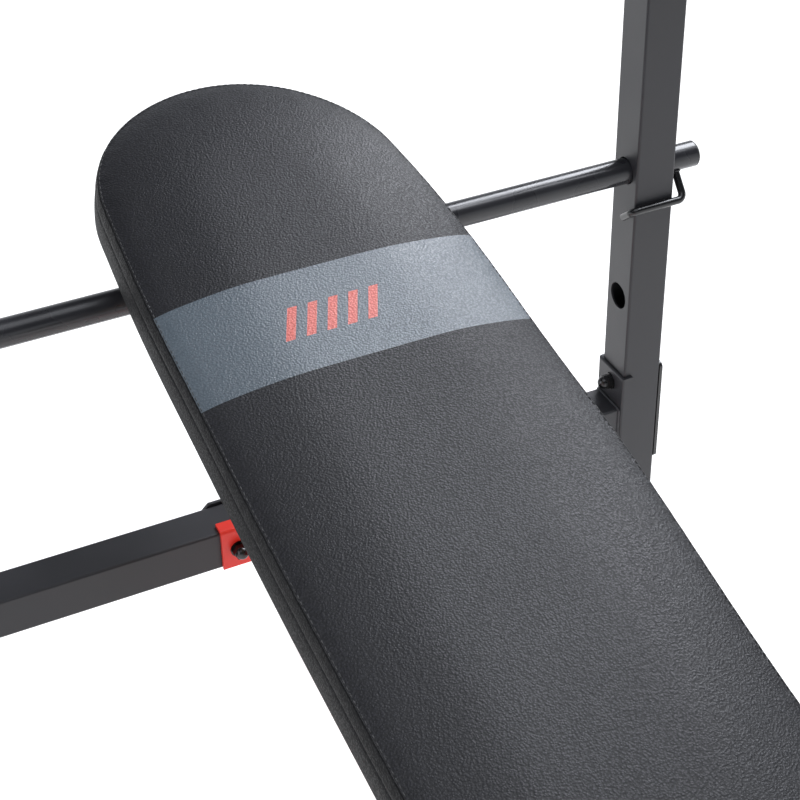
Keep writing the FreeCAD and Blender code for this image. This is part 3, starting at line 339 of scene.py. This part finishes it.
def new_object(name, points, faces, materials, matrix=None):
    mesh = bpy.data.meshes.new(name)
    mesh.from_pydata([tuple(p) for p in points], [], faces)
    mesh.update()
    made = bpy.data.objects.new(name, mesh)
    bpy.context.scene.collection.objects.link(made)
    for material in materials:
        mesh.materials.append(material)
    if matrix is not None:
        made.matrix_world = matrix
    mesh.shade_smooth()
    return made


def apply_modifiers(thing):
    """Leaves only the evaluated mesh on the object."""
    bpy.context.view_layer.update()
    graph = bpy.context.evaluated_depsgraph_get()
    mesh = bpy.data.meshes.new_from_object(thing.evaluated_get(graph))
    thing.modifiers.clear()
    thing.data = mesh


def ring_faces(rings, count, base=0, closed=False):
    """Quads between neighbours in a number of rings of count points, from index base on."""
    faces = []
    for ring in range(rings if closed else rings - 1):
        low = base + ring * count
        high = base + (ring + 1) % rings * count
        for i in range(count):
            j = (i + 1) % count
            faces.append((low + i, low + j, high + j, high + i))
    return faces


def end_caps(rings, count, base=0):
    """One face over the first and one over the last of those rings."""
    last = base + (rings - 1) * count
    return [tuple(base + i for i in reversed(range(count))),
            tuple(last + i for i in range(count))]


def full_turn(count):
    """The angles of a whole turn in equal steps."""
    return [2 * math.pi * k / count for k in range(count)]


def arc(centre, u_axis, v_axis, radius, angles):
    """Points round a centre, at angles counted from the first axis to the second."""
    return [centre + (u_axis * math.cos(a) + v_axis * math.sin(a)) * radius for a in angles]


def kd_tree(points):
    tree = KDTree(len(points))
    for index, point in enumerate(points):
        tree.insert(point, index)
    tree.balance()
    return tree


# ---- Outline of the padded board -----------------------------------------------------------

def outline_pieces():
    """Straight runs and arcs of the board's plan, anticlockwise from the front edge."""
    rise = PAD_HEAD - HEAD_RADIUS - STRAIGHT_END
    side_radius = ((SEAM_HALF_WIDTH ** 2 + rise ** 2 - HEAD_RADIUS ** 2)
                   / (2 * (SEAM_HALF_WIDTH - HEAD_RADIUS)))
    sweep = math.atan2(rise, side_radius - SEAM_HALF_WIDTH)
    corner_x = SEAM_HALF_WIDTH - FRONT_CORNER
    corner_y = PAD_FRONT + FRONT_CORNER
    quarter = math.pi / 2
    return [
        ("line", (-corner_x, PAD_FRONT), (corner_x, PAD_FRONT)),
        ("arc", (corner_x, corner_y), FRONT_CORNER, -quarter, 0.0),
        ("line", (SEAM_HALF_WIDTH, corner_y), (SEAM_HALF_WIDTH, STRAIGHT_END)),
        ("arc", (SEAM_HALF_WIDTH - side_radius, STRAIGHT_END), side_radius, 0.0, sweep),
        ("arc", (0.0, PAD_HEAD - HEAD_RADIUS), HEAD_RADIUS, sweep, math.pi - sweep),
        ("arc", (side_radius - SEAM_HALF_WIDTH, STRAIGHT_END), side_radius, math.pi - sweep,
         math.pi),
        ("line", (-SEAM_HALF_WIDTH, STRAIGHT_END), (-SEAM_HALF_WIDTH, corner_y)),
        ("arc", (-corner_x, corner_y), FRONT_CORNER, math.pi, 3 * quarter),
    ]


def piece_length(piece):
    if piece[0] == "line":
        return math.dist(piece[1], piece[2])
    return piece[2] * (piece[4] - piece[3])


def walk_outline(count):
    """Evenly spaced points on the outline, with outward normals and the whole length."""
    pieces = outline_pieces()
    lengths = [piece_length(piece) for piece in pieces]
    total = sum(lengths)
    points = np.zeros((count, 2))
    normals = np.zeros((count, 2))
    ends = np.cumsum(lengths)
    for i in range(count):
        distance = total * i / count
        k = min(int(np.searchsorted(ends, distance, side="right")), len(pieces) - 1)
        piece = pieces[k]
        local = distance - (ends[k] - lengths[k])
        share = local / lengths[k]
        if piece[0] == "line":
            start, end = np.array(piece[1]), np.array(piece[2])
            along = (end - start) / lengths[k]
            points[i] = start + along * local
            normals[i] = (along[1], -along[0])
        else:
            angle = piece[3] + (piece[4] - piece[3]) * share
            normals[i] = (math.cos(angle), math.sin(angle))
            points[i] = np.array(piece[1]) + piece[2] * normals[i]
    return points, normals, total


# How far the sewn seam strays outwards from the regular outline, against the distance along
# it from the middle of the head, right-hand side positive, both in millimetres.
SEAM_STRAY = (
    (-1400, 0.0), (-1150, -1.5), (-934, -0.7), (-834, 0.7), (-734, 1.8), (-634, 2.0),
    (-534, 1.0), (-454, 0.5), (-384, 1.5), (-284, 2.5), (-234, 3.3), (-204, 5.2),
    (-174, 7.2), (-144, 8.0), (-104, 7.6), (-64, 6.8), (-24, 4.6), (16, 2.6), (56, -0.8),
    (96, -6.0), (136, -8.6), (176, -9.6), (216, -9.8), (256, -7.4), (296, -5.8),
    (336, -4.7), (416, -4.0), (496, -3.3), (576, -1.9), (616, -0.6), (666, 1.8),
    (716, 2.0), (766, 1.0), (816, 0.2), (856, -1.3), (936, -3.0), (1150, -2.5), (1400, 0.0),
)
STRAY_SMOOTHING = 25


def sewn_outline(count):
    """The seam's own line, with its outward normals and length."""
    points, normals, total = walk_outline(count)
    front = piece_length(outline_pieces()[0])
    head_at = front + (total - front) / 2
    from_head = (head_at - np.arange(count) * total / count) / MM
    places, strays = zip(*SEAM_STRAY)
    stray = np.interp(from_head, places, strays) * MM
    wrap = STRAY_SMOOTHING - 1
    looped = np.concatenate([stray[-wrap:], stray, stray[:wrap]])
    even = np.ones(STRAY_SMOOTHING) / STRAY_SMOOTHING
    stray = np.convolve(looped, even, "same")[wrap:-wrap]
    points = points + normals * stray[:, None]
    along = np.roll(points, -1, axis=0) - np.roll(points, 1, axis=0)
    along /= np.linalg.norm(along, axis=1, keepdims=True)
    return points, np.column_stack([along[:, 1], -along[:, 0]]), total


# ---- Cushion ---------------------------------------------------------------------------------

AROUND = 720
edge_points, edge_normals, edge_length = sewn_outline(AROUND)
edge_tree = kd_tree([(x, y, 0.0) for x, y in edge_points])

COVER_THICKNESS = 1.0 * MM
LOWER_ROUND = 4 * MM
LOWER_ROUND_STEPS = 6
FOLD_INSETS = (26, 18, 10, 4)
FOLD_IN = 34 * MM

# The side panel: how far it flares out at its foot, how much it swells above the second
# seam and draws in at that seam, and the drops of its rings in millimetres.
FLARE = 4.6 * MM
FLARE_SHARE = 0.8
PANEL_SWELL = 0.9 * MM
CREASE_DEPTH = 0.9 * MM
CREASE_WIDTH = 1.3 * MM
PANEL_DROPS = (40, 35, 30, 26, 22, 19.4, 18, 17, 16, 14.6, 12, 9, 5, 2.8, 1.4, 0.5)

# The top: the dip of its edge seam, the tight roll beside it and the crown, which stops
# short of its full height because the cloth simulation puffs it up further.
SEAM_DIP = 1.3 * MM
TOP_SETBACK = 0.4 * MM
ROLL_HEIGHT = 1.0 * MM
ROLL_WIDTH = 2.2
CROWN_SHARE = 0.80
CROWN_REACH = 52 * MM
CROWN_POWER = 2.4
TOP_INSETS = (0.7, 1.6, 3, 5, 8, 12, 17, 23, 30, 37)
CLOSING_SHARES = (0.12, 0.26, 0.42, 0.6, 0.8, 1.0)


def nearest_edge(points):
    """The index of the seam point nearest to each point in plan, and its distance."""
    found = [edge_tree.find((p[0], p[1], 0.0)) for p in points]
    return np.array([hit[1] for hit in found]), np.array([hit[2] for hit in found])


def crown_height(distance):
    """How far the foam top stands above the seam, at a distance in from the edge."""
    share = np.clip(distance / CROWN_REACH, 0.0, 1.0)
    return CROWN * CROWN_SHARE * (1 - (1 - share) ** CROWN_POWER)


def boxing_out(drop):
    """How far the side panel stands out beyond the seam at a distance below it."""
    depth = SEAM_Z - PAD_UNDER
    flare = FLARE * math.sin(math.pi / 2 * min(drop / (FLARE_SHARE * depth), 1.0))
    swell = PANEL_SWELL * math.sin(math.pi * min(drop / SECOND_SEAM_DROP, 1.0))
    crease = CREASE_DEPTH * math.exp(-((drop - SECOND_SEAM_DROP) / CREASE_WIDTH) ** 2)
    return flare + swell - crease


def cushion_rings():
    """Rings of the cover from under the board, up the sides, over the seam to the middle."""
    axis_low = PAD_FRONT + HALF_WIDTH
    axis_high = PAD_HEAD - HEAD_RADIUS
    rings = []

    def ring(inset, z):
        xy = edge_points - edge_normals * inset
        rings.append(np.column_stack([xy, np.full(AROUND, z)]))

    # Folded edge under the board, then the rounded lower edge.
    fold_z = PAD_UNDER - COVER_THICKNESS
    ring(FOLD_IN, PAD_UNDER - 0.2 * COVER_THICKNESS)
    ring(FOLD_IN, fold_z)
    for inset in FOLD_INSETS:
        ring(inset * MM, fold_z)
    for step in range(LOWER_ROUND_STEPS):
        angle = math.pi / 2 * step / (LOWER_ROUND_STEPS - 1)
        ring(LOWER_ROUND - FLARE - LOWER_ROUND * math.sin(angle),
             fold_z + LOWER_ROUND - LOWER_ROUND * math.cos(angle))
    # Side panel up to the edge seam, with the stitched line pulled in on the way.
    for drop in PANEL_DROPS:
        ring(-boxing_out(drop * MM), SEAM_Z - drop * MM)
    seam_ring = len(rings)
    ring(SEAM_DIP, SEAM_Z)
    # Top panel: a tight roll just inside the seam, then the crown.
    for inset in TOP_INSETS:
        roll = ROLL_HEIGHT * math.exp(-inset / ROLL_WIDTH)
        ring(inset * MM + TOP_SETBACK - roll, SEAM_Z + crown_height(inset * MM) + roll)
    # The last rings close on the board's middle line.
    base = rings[-1]
    target = np.column_stack([np.zeros(AROUND), np.clip(base[:, 1], axis_low, axis_high)])
    for share in CLOSING_SHARES:
        xy = base[:, :2] * (1 - share) + target * share
        inset = nearest_edge(xy)[1]
        rings.append(np.column_stack([xy, SEAM_Z + crown_height(inset)]))
    return rings, seam_ring


# The cloth simulation runs on a coarse copy that is held near its seam and along its foot.
SIM_VOXEL = 6 * MM
SIM_FRAMES = 20
HELD_INSET = 7 * MM
HELD_BAND = 5 * MM
HELD_FOOT = 8 * MM
CLOTH_SETTINGS = {
    "quality": 5,
    "mass": 0.4,
    "tension_stiffness": 18,
    "compression_stiffness": 18,
    "bending_stiffness": 1.2,
    "use_pressure": True,
    "uniform_pressure_force": 4.0,
    "vertex_group_mass": "held",
}
PUFF_CAP = 5 * MM
BLEND_NEIGHBOURS = 24
BLEND_SOFTENING = 8 * MM


def soften_by_cloth(points, faces):
    """Puffs a remeshed copy of the cover and returns each point's small movement."""
    body = new_object("cushion_sim", points, faces, [])
    remesh = body.modifiers.new("Remesh", "REMESH")
    remesh.mode = "VOXEL"
    remesh.voxel_size = SIM_VOXEL
    apply_modifiers(body)
    rest = np.array([v.co for v in body.data.vertices])
    held = body.vertex_groups.new(name="held")
    for i, (p, inset) in enumerate(zip(rest, nearest_edge(rest)[1])):
        at_seam = inset < HELD_INSET and abs(p[2] - SEAM_Z) < HELD_BAND
        below = p[2] < PAD_UNDER + HELD_FOOT
        if at_seam or below:
            held.add([i], 1.0, "REPLACE")
    cloth = body.modifiers.new("Cloth", "CLOTH")
    for key, setting in CLOTH_SETTINGS.items():
        setattr(cloth.settings, key, setting)
    cloth.settings.effector_weights.gravity = 0.0
    cloth.collision_settings.use_collision = False
    scene = bpy.context.scene
    for step in range(1, SIM_FRAMES + 1):
        scene.frame_set(step)
    graph = bpy.context.evaluated_depsgraph_get()
    puffed = body.evaluated_get(graph).to_mesh()
    moved = np.array([v.co for v in puffed.vertices]) - rest
    scene.frame_set(1)
    bpy.data.objects.remove(body)
    size = np.linalg.norm(moved, axis=1, keepdims=True)
    moved *= np.minimum(1.0, PUFF_CAP / np.maximum(size, 1e-9))
    tree = kd_tree(rest)
    result = np.zeros_like(points)
    for i, p in enumerate(points):
        near = tree.find_n(p, BLEND_NEIGHBOURS)
        weights = np.array([1.0 / (distance + BLEND_SOFTENING) for _, _, distance in near])
        result[i] = (moved[[k for _, k, _ in near]] * weights[:, None]).sum(0) / weights.sum()
    return result


# Waves of the gathers along the seam: length, share and phase.
PUCKER_WAVES = ((31 * MM, 1.0, 0.0), (19 * MM, 0.6, 0.0), (11.7 * MM, 0.5, 1.0))
PUCKER_HEIGHT = 0.22 * MM
PUCKER_REACH = 11 * MM
PUCKER_START = 2.5 * MM


def seam_puckers(points):
    """Small gathers that the edge seam pulls into the cover on both sides of it."""
    index, inset = nearest_edge(points)
    along = index / AROUND * edge_length
    wave = sum(share * np.sin(along * 2 * math.pi / length + phase)
               for length, share, phase in PUCKER_WAVES)
    from_seam = np.hypot(inset, points[:, 2] - SEAM_Z)
    fade = np.exp(-(from_seam / PUCKER_REACH) ** 2) * np.clip(from_seam / PUCKER_START, 0, 1)
    gather = wave * fade * PUCKER_HEIGHT
    top = points[:, 2] > SEAM_Z
    side = (points[:, 2] <= SEAM_Z) & (points[:, 2] > PAD_UNDER + LOWER_ROUND)
    moved = np.zeros_like(points)
    moved[:, 2] = gather * top
    moved[:, :2] = edge_normals[index] * (gather * side)[:, None]
    return moved


# Material slots of the cover.
SIDE_SLOT, TOP_SLOT, BAND_SLOT = range(3)
CUT_TOLERANCE = 0.01 * MM
MERGE_DISTANCE = 0.2 * MM


def print_band(mesh):
    """Cuts the top along the band's two edges and gives the strip between them its print."""
    shape = bmesh.new()
    shape.from_mesh(mesh)
    for edge in (BAND_START, BAND_END):
        top = [face for face in shape.faces if face.material_index == TOP_SLOT]
        around = {part for face in top for part in (*face.verts, *face.edges, face)}
        bmesh.ops.bisect_plane(shape, geom=list(around), plane_co=(0, edge, 0),
                               plane_no=(0, 1, 0), dist=CUT_TOLERANCE)
    for face in shape.faces:
        along = face.calc_center_median().y
        if face.material_index == TOP_SLOT and BAND_START < along < BAND_END:
            face.material_index = BAND_SLOT
    shape.to_mesh(mesh)
    shape.free()


def make_cushion():
    """The sewn vinyl cover over its foam, puffed by a short cloth simulation."""
    rings, seam_ring = cushion_rings()
    points = np.vstack(rings)
    faces = ring_faces(len(rings), AROUND)
    top_start = seam_ring * AROUND
    # The underside is closed for the pressure only; the board fills it afterwards.
    lid = tuple(reversed(range(AROUND)))
    points = points + soften_by_cloth(points, faces + [lid])
    points = points + seam_puckers(points)
    cover = new_object("pad_cover", points, faces, [VINYL_SIDE, VINYL_TOP, VINYL_BAND],
                       board_frame)
    for polygon in cover.data.polygons:
        on_top = min(polygon.vertices) >= top_start
        polygon.material_index = TOP_SLOT if on_top else SIDE_SLOT
    shape = bmesh.new()
    shape.from_mesh(cover.data)
    bmesh.ops.remove_doubles(shape, verts=shape.verts, dist=MERGE_DISTANCE)
    bmesh.ops.recalc_face_normals(shape, faces=shape.faces)
    shape.to_mesh(cover.data)
    shape.free()
    smooth = cover.modifiers.new("Smooth", "SUBSURF")
    smooth.levels = 1
    smooth.render_levels = 1
    apply_modifiers(cover)
    print_band(cover.data)
    cover.data.shade_smooth()
    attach(cover, "pad")
    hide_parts("pad_cushion")


make_cushion()


# ---- Stitches and staples ------------------------------------------------------------------

STITCH_PITCH = 7 * MM
STITCH_LENGTH = 4.6 * MM
STITCH_RADIUS = 0.42 * MM
TOPSTITCH_INSET = 1.9 * MM
TOPSTITCH_RISE = 1.55 * MM
STAPLE_PITCH = 26 * MM
STAPLE_LENGTH = 9 * MM
STAPLE_RADIUS = 0.5 * MM
STAPLE_INSET = 24 * MM
STAPLE_DROP = 1.3 * MM
CAPSULE_SIDES = 6
CAPSULE_PROFILE = ((0.0, 0.45), (0.12, 1.0), (0.5, 1.12), (0.88, 1.0), (1.0, 0.45))


def capsules(name, groups, radius):
    """Short round-ended threads on the board, in groups of a material and its runs."""
    points = []
    faces = []
    indices = []
    rings = len(CAPSULE_PROFILE)
    for index, (_, runs) in enumerate(groups):
        for start, end in runs:
            along = (end - start).normalized()
            side = along.orthogonal().normalized()
            other = along.cross(side)
            base = len(points)
            for share, scale in CAPSULE_PROFILE:
                points.extend(arc(start.lerp(end, share), side, other, radius * scale,
                                  full_turn(CAPSULE_SIDES)))
            faces.extend(ring_faces(rings, CAPSULE_SIDES, base))
            faces.extend(end_caps(rings, CAPSULE_SIDES, base))
        indices.extend([index] * (len(faces) - len(indices)))
    made = new_object(name, points, faces, [material for material, _ in groups], board_frame)
    made.data.polygons.foreach_set("material_index", indices)
    return made


def runs_along(offset, z, pitch, length):
    """Starts and ends of stitches on the seam's line moved outwards by an offset."""
    line = edge_points + edge_normals * offset
    closed = np.vstack([line, line[:1]])
    steps = np.linalg.norm(np.diff(closed, axis=0), axis=1)
    marks = np.concatenate([[0.0], np.cumsum(steps)])
    whole = marks[-1]
    count = int(whole / pitch)

    def at(mark):
        return Vector((np.interp(mark, marks, closed[:, 0]),
                       np.interp(mark, marks, closed[:, 1]), z))

    return [(at(start), at(min(start + length, whole)))
            for start in np.arange(count) * whole / count]


def make_stitches():
    """Topstitching beside the edge seam and along the second line of the side panel."""
    upper = runs_along(-TOPSTITCH_INSET, SEAM_Z + TOPSTITCH_RISE, STITCH_PITCH, STITCH_LENGTH)
    lower = runs_along(boxing_out(SECOND_SEAM_DROP) + 0.1 * MM, SEAM_Z - SECOND_SEAM_DROP,
                       STITCH_PITCH, STITCH_LENGTH)
    threads = capsules("pad_stitching", [(THREAD_LIGHT, upper), (THREAD_DARK, lower)],
                       STITCH_RADIUS)
    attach(threads, "pad")


def make_staples():
    """Staples through the cover's folded edge into the plywood."""
    runs = runs_along(-STAPLE_INSET, PAD_UNDER - STAPLE_DROP, STAPLE_PITCH, STAPLE_LENGTH)
    staples = capsules("cover_staples", [(BRIGHT_STEEL, runs)], STAPLE_RADIUS)
    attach(staples, "pad")


make_stitches()
make_staples()


# ---- Welds ------------------------------------------------------------------------------------

X_AXIS, Y_AXIS, Z_AXIS = Vector((1, 0, 0)), Vector((0, 1, 0)), Vector((0, 0, 1))

# Half sizes and radii of the beads' lines, on the skin of the pieces that they join.
TUBE_HALF = 25 * MM
BRACE_HALF = 10 * MM
HOUSING_RADIUS = 11.4 * MM
SLEEVE_RADIUS = 13 * MM
BAIL_RADIUS = 4.5 * MM
BAIL_WAY = Vector((0, -30.5, -37)).normalized()

# A bead's radius by the joint that it is on, and the make of all beads.
TUBE_BEAD = 1.9 * MM
CATCH_BEAD = 1.6 * MM
BRACE_BEAD = 1.3 * MM
BAIL_BEAD = 1.1 * MM
BEAD_STEP = 0.9 * MM
BEAD_RIPPLE = 2.6 * MM
BEAD_SIDES = 8

# How far a bead's line lies in from the end of its tube, at a plain end and in a bracket.
END_INSET = 0.5 * MM
BRACKET_INSET = 1.0 * MM
CORNER_POINTS = 4


def bead(path, radius, closed):
    """Points and faces of a rippled weld bead along a path."""
    dense = []
    corners = [Vector(p) for p in path] + ([Vector(path[0])] if closed else [])
    for a, b in zip(corners, corners[1:]):
        count = max(1, int((b - a).length / BEAD_STEP))
        dense.extend(a.lerp(b, k / count) for k in range(count))
    if not closed:
        dense.append(corners[-1])
    total = len(dense)
    points = []
    for i, centre in enumerate(dense):
        after = dense[(i + 1) % total] if closed else dense[min(i + 1, total - 1)]
        before = dense[i - 1] if closed or i else dense[0]
        along = (after - before).normalized()
        # Any direction that no bead runs along gives the ring's first spoke.
        side = along.cross(Vector((0.37, 0.58, 0.72))).normalized()
        other = along.cross(side)
        phase = math.pi * i * BEAD_STEP / BEAD_RIPPLE
        ripple = 1 + 0.16 * abs(math.sin(phase)) + 0.09 * math.sin(i * 0.37)
        if not closed:
            ripple *= min(1.0, 0.45 + 0.25 * min(i, total - 1 - i))
        points.extend(arc(centre, side, other, radius * ripple, full_turn(BEAD_SIDES)))
    faces = ring_faces(total, BEAD_SIDES, closed=closed)
    if not closed:
        faces.extend(end_caps(total, BEAD_SIDES))
    return points, faces


def beads(name, paths, radius, slot, body):
    """Several beads as one piece that rides with a body."""
    points = []
    faces = []
    for path, closed in paths:
        more, around = bead(path, radius, closed)
        faces.extend(tuple(i + len(points) for i in face) for face in around)
        points.extend(more)
    made = new_object(name, points, faces, [FINISH[slot]])
    made.data.set_sharp_from_angle(angle=BEAD_SHARP_ANGLE)
    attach(made, body)


def square_loop(centre, half, axis, corner=3 * MM):
    """A square with rounded corners about an axis, as a list of points."""
    u_axis, v_axis = {"X": (Y_AXIS, Z_AXIS), "Y": (X_AXIS, Z_AXIS), "Z": (X_AXIS, Y_AXIS)}[axis]
    path = []
    for quarter, (u, v) in enumerate(((1, 1), (-1, 1), (-1, -1), (1, -1))):
        pivot = Vector(centre) + (u_axis * u + v_axis * v) * (half - corner)
        angles = [math.pi / 2 * (quarter + step / (CORNER_POINTS - 1))
                  for step in range(CORNER_POINTS)]
        path.extend(arc(pivot, u_axis, v_axis, corner, angles))
    return path


def frame_welds():
    """Beads of the cross tube, the front post, the floor tubes, pin housings and hinge."""
    cross_low, cross_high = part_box("cross_tube")
    cross = middle("cross_tube")
    foot = middle("front_post")
    foot.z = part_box("front_post")[0].z + END_INSET
    paths = [(square_loop((x, cross.y, cross.z), TUBE_HALF, "X"), True)
             for x in (cross_low.x + BRACKET_INSET, cross_high.x - BRACKET_INSET)]
    paths.append((square_loop((0, foot.y, foot.z), TUBE_HALF, "Z"), True))
    for side in ("left", "right"):
        end = middle(f"{side}_base_tube")
        end.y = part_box(f"{side}_base_tube")[0].y + END_INSET
        loop = square_loop(end, TUBE_HALF, "Y")
        # It starts two corners on, so that the join in its ripple is underneath.
        paths.append((loop[2 * CORNER_POINTS:] + loop[:2 * CORNER_POINTS], True))
        housing = middle(f"{side}_pin_housing")
        housing.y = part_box(f"{side}_pin_housing")[0].y + 0.4 * MM
        paths.append((arc(housing, X_AXIS, Z_AXIS, HOUSING_RADIUS, full_turn(28)), True))
    for x in (-TUBE_HALF - 0.2 * MM, TUBE_HALF + 0.2 * MM):
        centre = Vector((x, hinge.y, hinge.z))
        angles = [math.radians(-142 + 8 * k) for k in range(14)]
        paths.append((arc(centre, Y_AXIS, Z_AXIS, SLEEVE_RADIUS, angles), False))
    beads("frame_welds", paths, TUBE_BEAD, "black_powder_coat", "root")


def beam_welds():
    """Beads round both ends of the main beam."""
    low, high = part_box("main_beam")
    z = middle("main_beam").z
    paths = [(square_loop((0, y, z), TUBE_HALF, "Y"), True)
             for y in (high.y - BRACKET_INSET, low.y + END_INSET)]
    beads("beam_welds", paths, TUBE_BEAD, "red_powder_coat", "root")


def catch_welds(side):
    """Two upright beads where a catch meets the front of its post."""
    low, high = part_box(f"{side}_catch")
    x = middle(f"{side}_post").x
    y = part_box(f"{side}_post")[0].y - 0.4 * MM
    paths = [([(x + aside, y, low.z + 20 * MM), (x + aside, y, high.z - 8 * MM)], False)
             for aside in (-20 * MM, 20 * MM)]
    beads(f"{side}_catch_welds", paths, CATCH_BEAD, "black_powder_coat", f"{side}_post")


def brace_welds():
    """Beads round both ends of the braces between the pad's rails."""
    paths = []
    for brace in ("head_brace", "middle_brace"):
        low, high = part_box(brace)
        centre = board_inverse @ middle(brace)
        for x in (low.x + 0.6 * MM, high.x - 0.6 * MM):
            loop = square_loop((x, centre.y, centre.z), BRACE_HALF, "X", 2 * MM)
            paths.append(([board_frame @ point for point in loop], True))
    beads("brace_welds", paths, BRACE_BEAD, "black_powder_coat", "pad")


def bail_weld():
    """The bead round the bail's leg where it leaves the support bar."""
    root = bar_centre + BAIL_WAY * (bar_radius + 0.5 * MM)
    root.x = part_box("bail_wire")[1].x - BAIL_RADIUS
    ring = arc(root, X_AXIS, BAIL_WAY.cross(X_AXIS), BAIL_RADIUS + 0.3 * MM, full_turn(20))
    beads("bail_weld", [(ring, True)], BAIL_BEAD, "black_gloss_paint", "bail")


frame_welds()
beam_welds()
catch_welds("left")
catch_welds("right")
brace_welds()
bail_weld()


# ---- Camera, light and floor --------------------------------------------------------------------

# The camera's place from the support bar's middle, and which way it looks.
CAMERA_OFFSET = Vector((-0.6054, -1.6346, 1.1165))
CAMERA_AZIMUTH = math.radians(26.54)
CAMERA_DIP = math.radians(34.35)


def add_camera():
    """The photograph's view: from the front left, above the pad, through a long lens."""
    level = math.cos(CAMERA_DIP)
    forward = Vector((math.sin(CAMERA_AZIMUTH) * level, math.cos(CAMERA_AZIMUTH) * level,
                      -math.sin(CAMERA_DIP)))
    right = Vector((math.cos(CAMERA_AZIMUTH), -math.sin(CAMERA_AZIMUTH), 0.0))
    up = right.cross(forward)
    turn = Matrix((right, up, -forward)).transposed().to_4x4()
    camera = bpy.data.cameras.new("camera")
    camera.sensor_width = 36
    camera.lens = 88.34
    camera.shift_x = -0.0558
    camera.shift_y = -0.1026
    camera.clip_start = 0.05
    made = bpy.data.objects.new("camera", camera)
    made.matrix_world = Matrix.Translation(bar_centre + CAMERA_OFFSET) @ turn
    bpy.context.scene.collection.objects.link(made)
    bpy.context.scene.camera = made


LIGHT_TINT = (0.94, 0.965, 1.03)
LOOK_AT = (0.0, 0.1, 0.5)
# Soft boxes: name, place, what they face, width, height and watts.
LIGHTS = (
    ("key_box", (2.0, 1.5, 2.6), LOOK_AT, 1.6, 1.6, 58),
    ("top_box", (-0.6, -0.4, 3.6), LOOK_AT, 3.0, 3.0, 37),
    ("left_box", (-2.8, 0.6, 1.3), (0.2, 0.4, 0.6), 1.4, 2.0, 26),
    ("close_box", (1.1, 0.9, 1.7), (0.0, 0.0, 0.5), 0.8, 0.8, 13),
    ("high_box", (1.2, 0.2, 3.0), LOOK_AT, 1.2, 1.2, 26),
    ("back_box", (0.0, 3.2, 2.0), (0.0, 0.0, 0.5), 2.5, 1.5, 4),
)
FLOOR_HALF = 60.0


def add_light(name, place, target, width, height, watts):
    lamp = bpy.data.lights.new(name, "AREA")
    lamp.shape = "RECTANGLE"
    lamp.size = width
    lamp.size_y = height
    lamp.energy = watts
    lamp.color = LIGHT_TINT
    made = bpy.data.objects.new(name, lamp)
    made.location = place
    made.rotation_euler = (Vector(target) - Vector(place)).to_track_quat("-Z", "Y").to_euler()
    bpy.context.scene.collection.objects.link(made)


def add_world():
    """A pale horizon that fades to a dim ceiling."""
    world = bpy.data.worlds.new("studio")
    world.use_nodes = True
    sky = world.node_tree
    background = sky.nodes["Background"]
    background.inputs["Color"].default_value = (0.90, 0.95, 1.0, 1.0)
    place = sky.nodes.new("ShaderNodeTexCoord")
    split = sky.nodes.new("ShaderNodeSeparateXYZ")
    fade = sky.nodes.new("ShaderNodeMapRange")
    fade.interpolation_type = "SMOOTHSTEP"
    for socket, setting in (("From Min", 0.16), ("From Max", 0.46), ("To Min", 0.80),
                            ("To Max", 0.04)):
        fade.inputs[socket].default_value = setting
    sky.links.new(place.outputs["Generated"], split.inputs[0])
    sky.links.new(split.outputs["Z"], fade.inputs["Value"])
    sky.links.new(fade.outputs["Result"], background.inputs["Strength"])
    bpy.context.scene.world = world


def add_floor():
    """A white floor that glows a little, as a lit studio sweep does."""
    corners = [(x * FLOOR_HALF, y * FLOOR_HALF, 0)
               for x, y in ((-1, -1), (1, -1), (1, 1), (-1, 1))]
    s = Shader("floor")
    tone = s.mix(s.noise(0.8, 2.0), grey(0.43), grey(0.47))
    material = s.set(color=tone, rough=0.8, glow=grey(1.0), glow_strength=0.86)
    new_object("floor", corners, [(0, 1, 2, 3)], [material])


add_camera()
bpy.context.scene.view_settings.view_transform = "Standard"
add_world()
add_floor()
for light in LIGHTS:
    add_light(*light)
